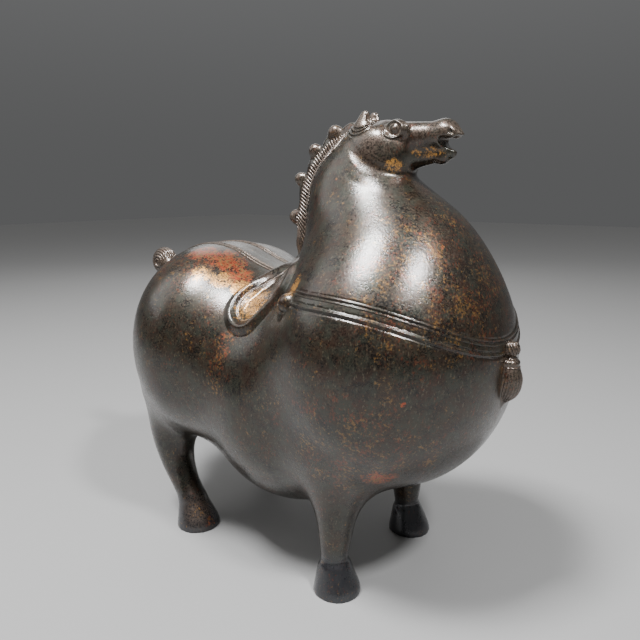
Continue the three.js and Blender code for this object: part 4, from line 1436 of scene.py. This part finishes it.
def relaxed(points: Points, tri: np.ndarray, amount: float) -> Points:
    """Evens out the spacing of points: each moves toward the middle of its neighbours.

    Args:
        points: The mesh's points.
        tri: Its triangles.
        amount: Share of the way to move.

    Returns:
        The moved points.
    """
    total = np.zeros_like(points)
    count = np.zeros(len(points))
    for i, j in ((0, 1), (1, 2), (2, 0), (1, 0), (2, 1), (0, 2)):
        np.add.at(total, tri[:, i], points[tri[:, j]])
        np.add.at(count, tri[:, i], 1)
    shift = total / count[:, None] - points
    a, b, c = points[tri[:, 0]], points[tri[:, 1]], points[tri[:, 2]]
    face = np.cross(b - a, c - a)
    normal = np.zeros_like(points)
    for i in range(3):
        np.add.at(normal, tri[:, i], face)
    normal /= np.maximum(np.linalg.norm(normal, axis=1), TINY)[:, None]
    return points + amount * (shift - normal * (shift * normal).sum(1)[:, None])


@dataclass
class Skin:
    """The casting's finished skin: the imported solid, refined until it carries the fine relief."""

    casting: Casting
    rounds: int = 9
    relax_rounds: int = 3
    relax_share: float = 0.5
    sole_height: float = 0.02
    clearance: float = 0.03

    def build(self, solid: Piece, material: bpy.types.Material) -> Piece:
        """Refines the solid's surface.

        Args:
            solid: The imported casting.
            material: Its finish.

        Returns:
            The skin's object.
        """
        points, tri = welded(solid)
        low, high = points.min(0), points.max(0)
        for turn in range(self.rounds):
            old = len(points)
            points, tri, added = split_long_edges(points, tri, self.casting.face_size)
            if added == 0:
                break
            fresh = settle(self.casting.standing, points[old:], 1)
            points = np.vstack([points[:old], fresh])
            log.info("skin round %d: %d triangles", turn + 1, len(tri))
        sole = points[:, 2] < self.sole_height
        for _ in range(self.relax_rounds):
            moved = settle(self.casting.distance, relaxed(points, tri, self.relax_share), 1)
            points = np.where(sole[:, None], points, moved)
        points = np.where(sole[:, None], points, settle(self.casting.distance, points))
        points[:, 2] = np.where(sole, 0, np.maximum(points[:, 2], self.clearance))
        points = np.clip(points, low, high)
        corners = outward(self.casting.distance, points)[tri.reshape(-1)]
        corners[np.repeat(sole[tri].all(1), 3)] = (0, 0, -1)
        piece = mesh_object("casting_skin", points, tri, corners)
        piece.data.materials.append(material)
        return piece


@dataclass(frozen=True)
class BronzePatina:
    """Dark waxed bronze with fine golden and rust-red flecks, rubbed to red and gold in places.

    A share or gloss is the range of a pattern's value, followed by that of the result where it has
    four numbers. Weights are those of patterns that are added up, and an offset is taken off the
    sum. The fleck density is what is added outside and inside the fleck places.
    """

    name: str = "bronze_patina"
    worn_all: bool = False
    dark: Triple = (0.007, 0.006, 0.005)
    brown: Triple = (0.040, 0.026, 0.015)
    grey_green: Triple = (0.031, 0.033, 0.023)
    warm: Triple = (0.035, 0.016, 0.009)
    hoof_grey: Triple = (0.026, 0.029, 0.036)
    scratch: Triple = (0.110, 0.094, 0.062)
    # Pale, fairly neutral worn bronze; over the head it is also a painted sheen.
    worn: Triple = (0.150, 0.108, 0.082)
    rust: Triple = (0.130, 0.034, 0.014)
    red: Triple = (0.330, 0.052, 0.014)
    ochre: Triple = (0.230, 0.118, 0.032)
    gold: Triple = (0.600, 0.290, 0.062)
    metallic: float = 0.6
    roughness: float = 0.33
    mottle_gloss: Four = (0.3, 0.7, -0.06, 0.08)
    grain_gloss: Four = (0.38, 0.62, -0.07, 0.10)
    coat: float = 0.6
    coat_roughness: float = 0.17
    coat_ior: float = 1.6
    bump_strength: float = 0.5
    bump_depth: float = 0.0005
    mottle: Noise = Noise(105, 8, 0.68)
    grain: Noise = Noise(950, 3, 0.65)
    speckle: Noise = Noise(600, 4, 0.7)
    brush_marks: Noise = Noise(900, 3, 0.6, (0.3, 0.5, 0.2), (1.0, 1.0, 0.12))
    swell: Noise = Noise(45, 3, 0.5)
    height_weights: Four = (0.5, 0.3, 0.25, 0.6)
    cloud: Noise = Noise(62, 5, 0.65)
    tone_weights: Triple = (0.3, 0.25, 0.45)
    brown_share: Pair = (0.41, 0.58)
    green_cloud: Noise = Noise(150, 5, 0.7)
    green_share: Four = (0.44, 0.60, 0, 0.75)
    warm_cloud: Noise = Noise(85, 6, 0.7)
    warm_share: Four = (0.5, 0.64, 0, 0.7)
    scratches: Noise = Noise(980, 3, 0.6, (0.5, 0.9, 0.3), (1.0, 1.0, 0.45))
    scratch_share: Four = (0.58, 0.70, 0, 0.7)
    hoof_share: Four = (0.018, 0.030, 0.75, 0)
    worn_share: Four = (0.36, 0.6, 0.15, 0.85)
    fleck_density: Pair = (0.01, 0.055)
    fleck_weights: Pair = (0.4, 0.6)
    rust_cloud: Noise = Noise(66, 5, 0.65)
    rust_flecks: Noise = Noise(640, 4, 0.7, (0.4, 0.3, 0.5), (1.0, 1.0, 0.7))
    rust_share: Four = (0.575, 0.65, 0, 0.7)
    ochre_cloud: Noise = Noise(80, 5, 0.65)
    ochre_share: Four = (0.585, 0.67, 0, 0.7)
    patches: Noise = Noise(160, 4, 0.7)
    red_weights: Triple = (3.2, 2.2, 2.6)
    red_offset: float = 3.1
    red_tint: Noise = Noise(420, 4, 0.75)
    red_tint_share: Pair = (0.44, 0.6)
    red_share: Four = (0.34, 0.82, 0, 0.9)
    gold_grain: Noise = Noise(560, 4, 0.75, (0.5, 0.2, 0.7))
    gold_weights: Pair = (4.5, 2.6)
    gold_offset: float = 2.65
    gold_tint_share: Pair = (0.4, 0.6)
    gold_share: Four = (0.4, 0.85, 0, 0.92)
    gold_spots: Sequence[Spot] = (
        Spot((-0.043, -0.048, 0.183), (0.010, 0.009, 0.007)),
        Spot((-0.031, -0.043, 0.180), (0.011, 0.009, 0.008)),
        Spot((-0.017, -0.039, 0.176), (0.010, 0.008, 0.008)),
        Spot((-0.001, -0.045, 0.168), (0.012, 0.020, 0.014)),
        Spot((0.043, -0.059, 0.186), (0.005, 0.009, 0.011)),
        Spot((0.077, -0.014, 0.2485), (0.006, 0.007, 0.005)),
        Spot((0.093, -0.006, 0.2555), (0.013, 0.007, 0.004), 0.75),
        Spot((-0.054, -0.050, 0.015), (0.006, 0.008, 0.011), 0.5),
    )
    red_spots: Sequence[Spot] = (
        Spot((-0.058, -0.032, 0.194), (0.014, 0.014, 0.011)),
        Spot((-0.041, -0.028, 0.190), (0.018, 0.016, 0.013)),
        Spot((-0.024, -0.034, 0.184), (0.012, 0.012, 0.010)),
        Spot((0.095, -0.052, 0.085), (0.014, 0.011, 0.009), 0.8),
        Spot((0.026, -0.066, 0.176), (0.007, 0.007, 0.006)),
        Spot((-0.007, -0.065, 0.148), (0.010, 0.014, 0.021), 0.5),
        Spot((-0.047, -0.044, 0.006), (0.006, 0.007, 0.006), 0.6),
        Spot((0.115, -0.063, 0.134), (0.0019, 0.0019, 0.0019)),
        Spot((0.103, -0.030, 0.214), (0.0018, 0.0018, 0.0018)),
        Spot((0.114, -0.025, 0.208), (0.0016, 0.0016, 0.0016)),
        Spot((0.057, -0.021, 0.249), (0.0015, 0.0015, 0.0015)),
        Spot((0.047, -0.026, 0.242), (0.0015, 0.0015, 0.0015)),
    )
    fleck_places: Sequence[Spot] = (
        Spot((0.115, -0.030, 0.190), (0.050, 0.060, 0.050)),
        Spot((0.090, 0.040, 0.190), (0.050, 0.040, 0.050)),
        Spot((0.085, -0.055, 0.105), (0.050, 0.050, 0.045)),
        Spot((-0.007, -0.065, 0.146), (0.013, 0.016, 0.030)),
        Spot((-0.060, -0.040, 0.185), (0.040, 0.030, 0.022)),
    )
    # Worn places on the mane's locks, tail knot, tassel and hind hoof; those on the ears and snout
    # are wear and also a painted sheen.
    wear_and_sheen_places: Sequence[Spot] = (
        Spot((0.0273, 0, 0.270), (0.006, 0.006, 0.006)),
        Spot((0.0119, 0, 0.2598), (0.006, 0.006, 0.006)),
        Spot((0.0004, 0, 0.2427), (0.006, 0.006, 0.006)),
        Spot((-0.0044, 0, 0.2188), (0.006, 0.006, 0.006)),
        Spot((0.0, 0, 0.200), (0.010, 0.006, 0.012)),
        Spot((0.052, 0, 0.274), (0.009, 0.014, 0.010)),
        Spot((0.098, 0, 0.266), (0.018, 0.014, 0.007), 0.8),
        Spot((-0.139, 0, 0.180), (0.014, 0.014, 0.014)),
        Spot((0.144, 0, 0.140), (0.007, 0.010, 0.020)),
        Spot((-0.056, -0.048, 0.013), (0.012, 0.012, 0.014)),
        # Painted sheen on the cheek and round the eye.
        Spot((0.062, 0, 0.260), (0.016, 0.030, 0.015), 0.8),
        Spot((0.076, 0, 0.2685), (0.009, 0.020, 0.007)),
    )

    def build(self) -> bpy.types.Material:
        """Makes the material."""
        material = bpy.data.materials.new(self.name)
        material.use_nodes = True
        tree = material.node_tree
        tree.nodes.clear()
        work = NodeWork(tree)
        out = tree.nodes.new("ShaderNodeOutputMaterial")
        shader = tree.nodes.new("ShaderNodeBsdfPrincipled")
        tree.links.new(shader.outputs["BSDF"], out.inputs["Surface"])
        place = tree.nodes.new("ShaderNodeTexCoord").outputs["Object"]
        mottle = work.noise(place, self.mottle)
        grain = work.noise(place, self.grain)
        speckle = work.noise(place, self.speckle)
        colour = self.base_colour(work, place, mottle, grain)
        # Mixes in the worn colour by the grain, in the worn places or everywhere for the lines;
        # over the head it is a painted sheen.
        share = work.remap(grain, *self.worn_share)
        if not self.worn_all:
            share = work.math("MULTIPLY", share, work.spots(place, self.wear_and_sheen_places))
        colour = work.mix(share, colour, self.worn)
        colour = self.flecked(work, place, colour, speckle)
        colour = self.rubbed(work, place, colour, speckle, grain)
        tree.links.new(colour, shader.inputs["Base Color"])
        rough = work.math("ADD", work.remap(mottle, *self.mottle_gloss), self.roughness)
        rough = work.math("ADD", rough, work.remap(grain, *self.grain_gloss))
        tree.links.new(rough, shader.inputs["Roughness"])
        shader.inputs["Metallic"].default_value = self.metallic
        shader.inputs["Coat Weight"].default_value = self.coat
        shader.inputs["Coat Roughness"].default_value = self.coat_roughness
        shader.inputs["Coat IOR"].default_value = self.coat_ior
        bump = tree.nodes.new("ShaderNodeBump")
        bump.inputs["Strength"].default_value = self.bump_strength
        bump.inputs["Distance"].default_value = self.bump_depth
        tree.links.new(self.height(work, place, mottle, grain), bump.inputs["Height"])
        tree.links.new(bump.outputs["Normal"], shader.inputs["Normal"])
        tree.links.new(bump.outputs["Normal"], shader.inputs["Coat Normal"])
        return material

    def height(self, work: NodeWork, place: Socket, mottle: Socket, grain: Socket) -> Socket:
        """Adds up the fine unevenness of the cast and hand-rubbed surface."""
        parts = (mottle, grain, work.noise(place, self.brush_marks), work.noise(place, self.swell))
        return work.weighted(*zip(parts, self.height_weights))

    def base_colour(self, work: NodeWork, place: Socket, mottle: Socket, grain: Socket) -> Socket:
        """Mixes the dark ground, greenish and reddish clouds, pale scratches and bluish hooves."""
        cloud = work.noise(place, self.cloud)
        tone = work.weighted(*zip((cloud, mottle, grain), self.tone_weights))
        colour = work.mix(work.remap(tone, *self.brown_share), self.dark, self.brown)
        for pattern, share, tint in (
            (self.green_cloud, self.green_share, self.grey_green),
            (self.warm_cloud, self.warm_share, self.warm),
            (self.scratches, self.scratch_share, self.scratch),
        ):
            colour = work.mix(work.remap(work.noise(place, pattern), *share), colour, tint)
        apart = work.tree.nodes.new("ShaderNodeSeparateXYZ")
        work.put(apart.inputs[0], place)
        return work.mix(work.remap(apart.outputs["Z"], *self.hoof_share), colour, self.hoof_grey)

    def flecked(self, work: NodeWork, place: Socket, colour: Socket, speckle: Socket) -> Socket:
        """Strews fine rust-red and ochre flecks, thickest in the fleck places."""
        dense = work.remap(work.spots(place, self.fleck_places), 0, 1, *self.fleck_density)
        wide, narrow = self.fleck_weights
        for cloud, fine, share, tint in (
            (self.rust_cloud, work.noise(place, self.rust_flecks), self.rust_share, self.rust),
            (self.ochre_cloud, speckle, self.ochre_share, self.ochre),
        ):
            strewn = work.weighted((work.noise(place, cloud), wide), (dense, 1), (fine, narrow))
            colour = work.mix(work.remap(strewn, *share), colour, tint)
        return colour

    def rubbed(
        self, work: NodeWork, place: Socket, colour: Socket, speckle: Socket, grain: Socket
    ) -> Socket:
        """Lays the ragged, speckled red and golden places over the colour."""
        patchy = work.noise(place, self.patches)
        ragged = work.weighted(*zip((speckle, grain, patchy), self.red_weights))
        ragged = work.math("SUBTRACT", ragged, self.red_offset)
        red = work.math("MULTIPLY", work.spots(place, self.red_spots), ragged)
        share = work.remap(work.noise(place, self.red_tint), *self.red_tint_share)
        stain = work.mix(share, self.red, self.ochre)
        colour = work.mix(work.remap(red, *self.red_share), colour, stain)
        gold_grain = work.noise(place, self.gold_grain)
        scattered = work.weighted(*zip((gold_grain, patchy), self.gold_weights))
        scattered = work.math("SUBTRACT", scattered, self.gold_offset)
        gold = work.math("MULTIPLY", work.spots(place, self.gold_spots), scattered)
        worn = work.mix(work.remap(grain, *self.gold_tint_share), self.ochre, self.gold)
        return work.mix(work.remap(gold, *self.gold_share), colour, worn)


@dataclass(frozen=True)
class Lamp:
    """A square soft light that faces the horse: place and width in metres, power in watts."""

    name: str
    at: Triple
    size: float
    power: float
    tint: Triple = (1, 1, 1)

    def build(self, target: Triple) -> None:
        """Hangs the light and turns it to the target."""
        light = bpy.data.lights.new(self.name, "AREA")
        light.size = self.size
        light.energy = self.power
        light.color = self.tint
        holder = bpy.data.objects.new(self.name, light)
        holder.location = self.at
        way = Vector(target) - Vector(self.at)
        holder.rotation_euler = way.to_track_quat("-Z", "Y").to_euler()
        bpy.context.scene.collection.objects.link(holder)


@dataclass
class Studio:
    """Pale floor, soft lights and the camera."""

    camera_at: Triple = (0.2561, -0.3122, 0.2364)
    camera_azimuth: float = 37.6
    camera_elevation: float = 12.0
    lens: float = 34.65
    sensor: float = 36
    nearest: float = 0.01
    floor_half: float = 4000.0
    floor_colour: Triple = (0.30, 0.297, 0.292)
    floor_roughness: float = 0.7
    sky_tint: Triple = (0.98, 0.99, 1.0)
    sky_rise: Pair = (0.0, 0.9)
    sky_strength: Pair = (0.105, 0.27)
    aim: Triple = (0, 0, 0.14)
    lamps: Sequence[Lamp] = (
        Lamp("key", (-0.12, -0.42, 1.20), 0.27, 30, (0.97, 0.98, 1.0)),
        Lamp("front", (0.68, -0.20, 1.05), 0.12, 15, (0.97, 0.98, 1.0)),
        Lamp("fill", (-0.95, -0.55, 0.85), 0.8, 3.5),
        Lamp("back", (-0.8, 0.95, 0.8), 0.9, 3),
    )
    wash_strength: float = 0.3
    wash_spread: float = 60
    wash_tilt: float = 25

    def floor(self) -> None:
        """Makes the pale floor."""
        corners = np.array([(-1, -1, 0), (1, -1, 0), (1, 1, 0), (-1, 1, 0)]) * self.floor_half
        piece = mesh_object("floor", corners, np.array([[0, 1, 2, 3]]))
        material = bpy.data.materials.new("floor_paint")
        material.use_nodes = True
        shader = material.node_tree.nodes["Principled BSDF"]
        shader.inputs["Base Color"].default_value = (*self.floor_colour, 1)
        shader.inputs["Roughness"].default_value = self.floor_roughness
        piece.data.materials.append(material)

    def sky(self) -> None:
        """Makes the soft light all round, dimmer near the horizon than overhead."""
        world = bpy.data.worlds.new("studio")
        world.use_nodes = True
        tree = world.node_tree
        back = tree.nodes["Background"]
        back.inputs["Color"].default_value = (*self.sky_tint, 1)
        apart = tree.nodes.new("ShaderNodeSeparateXYZ")
        tree.links.new(tree.nodes.new("ShaderNodeTexCoord").outputs["Generated"], apart.inputs[0])
        strength = NodeWork(tree).remap(apart.outputs["Z"], *self.sky_rise, *self.sky_strength)
        tree.links.new(strength, back.inputs["Strength"])
        bpy.context.scene.world = world

    def wash(self) -> None:
        """Adds a very soft sun from above and to the right."""
        sun = bpy.data.lights.new("wash", "SUN")
        sun.energy = self.wash_strength
        sun.angle = math.radians(self.wash_spread)
        holder = bpy.data.objects.new("wash", sun)
        holder.rotation_euler = (math.radians(self.wash_tilt), 0, 0)
        bpy.context.scene.collection.objects.link(holder)

    def camera(self) -> None:
        """Places the camera at the photograph's angle."""
        lens = bpy.data.cameras.new("camera")
        lens.lens = self.lens
        lens.sensor_width = self.sensor
        lens.clip_start = self.nearest
        holder = bpy.data.objects.new("camera", lens)
        a, e = math.radians(self.camera_azimuth), math.radians(self.camera_elevation)
        back_way = Vector((math.sin(a) * math.cos(e), -math.cos(a) * math.cos(e), math.sin(e)))
        holder.location = self.camera_at
        holder.rotation_euler = (-back_way).to_track_quat("-Z", "Y").to_euler()
        bpy.context.scene.collection.objects.link(holder)
        bpy.context.scene.camera = holder

    def build(self) -> None:
        """Places floor, world, lights and camera."""
        self.floor()
        self.sky()
        for lamp in self.lamps:
            lamp.build(self.aim)
        self.wash()
        self.camera()


def main() -> None:
    """Builds the horse and its stage, and reports each piece."""
    logging.basicConfig(level=logging.INFO, format="%(name)s: %(message)s")
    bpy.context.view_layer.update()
    Studio().build()
    bronze = BronzePatina().build()
    worn = BronzePatina(name="bronze_worn_lines", worn_all=True).build()
    casting = Casting()
    skin = Skin(casting).build(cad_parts["horse_casting"], bronze)
    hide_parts("horse_casting")
    for piece in [skin, *casting.lines(Finishes(bronze, worn))]:
        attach(piece, "root")
        log.info("%s: %d faces", piece.name, len(piece.data.polygons))


if __name__ == "__main__":
    main()
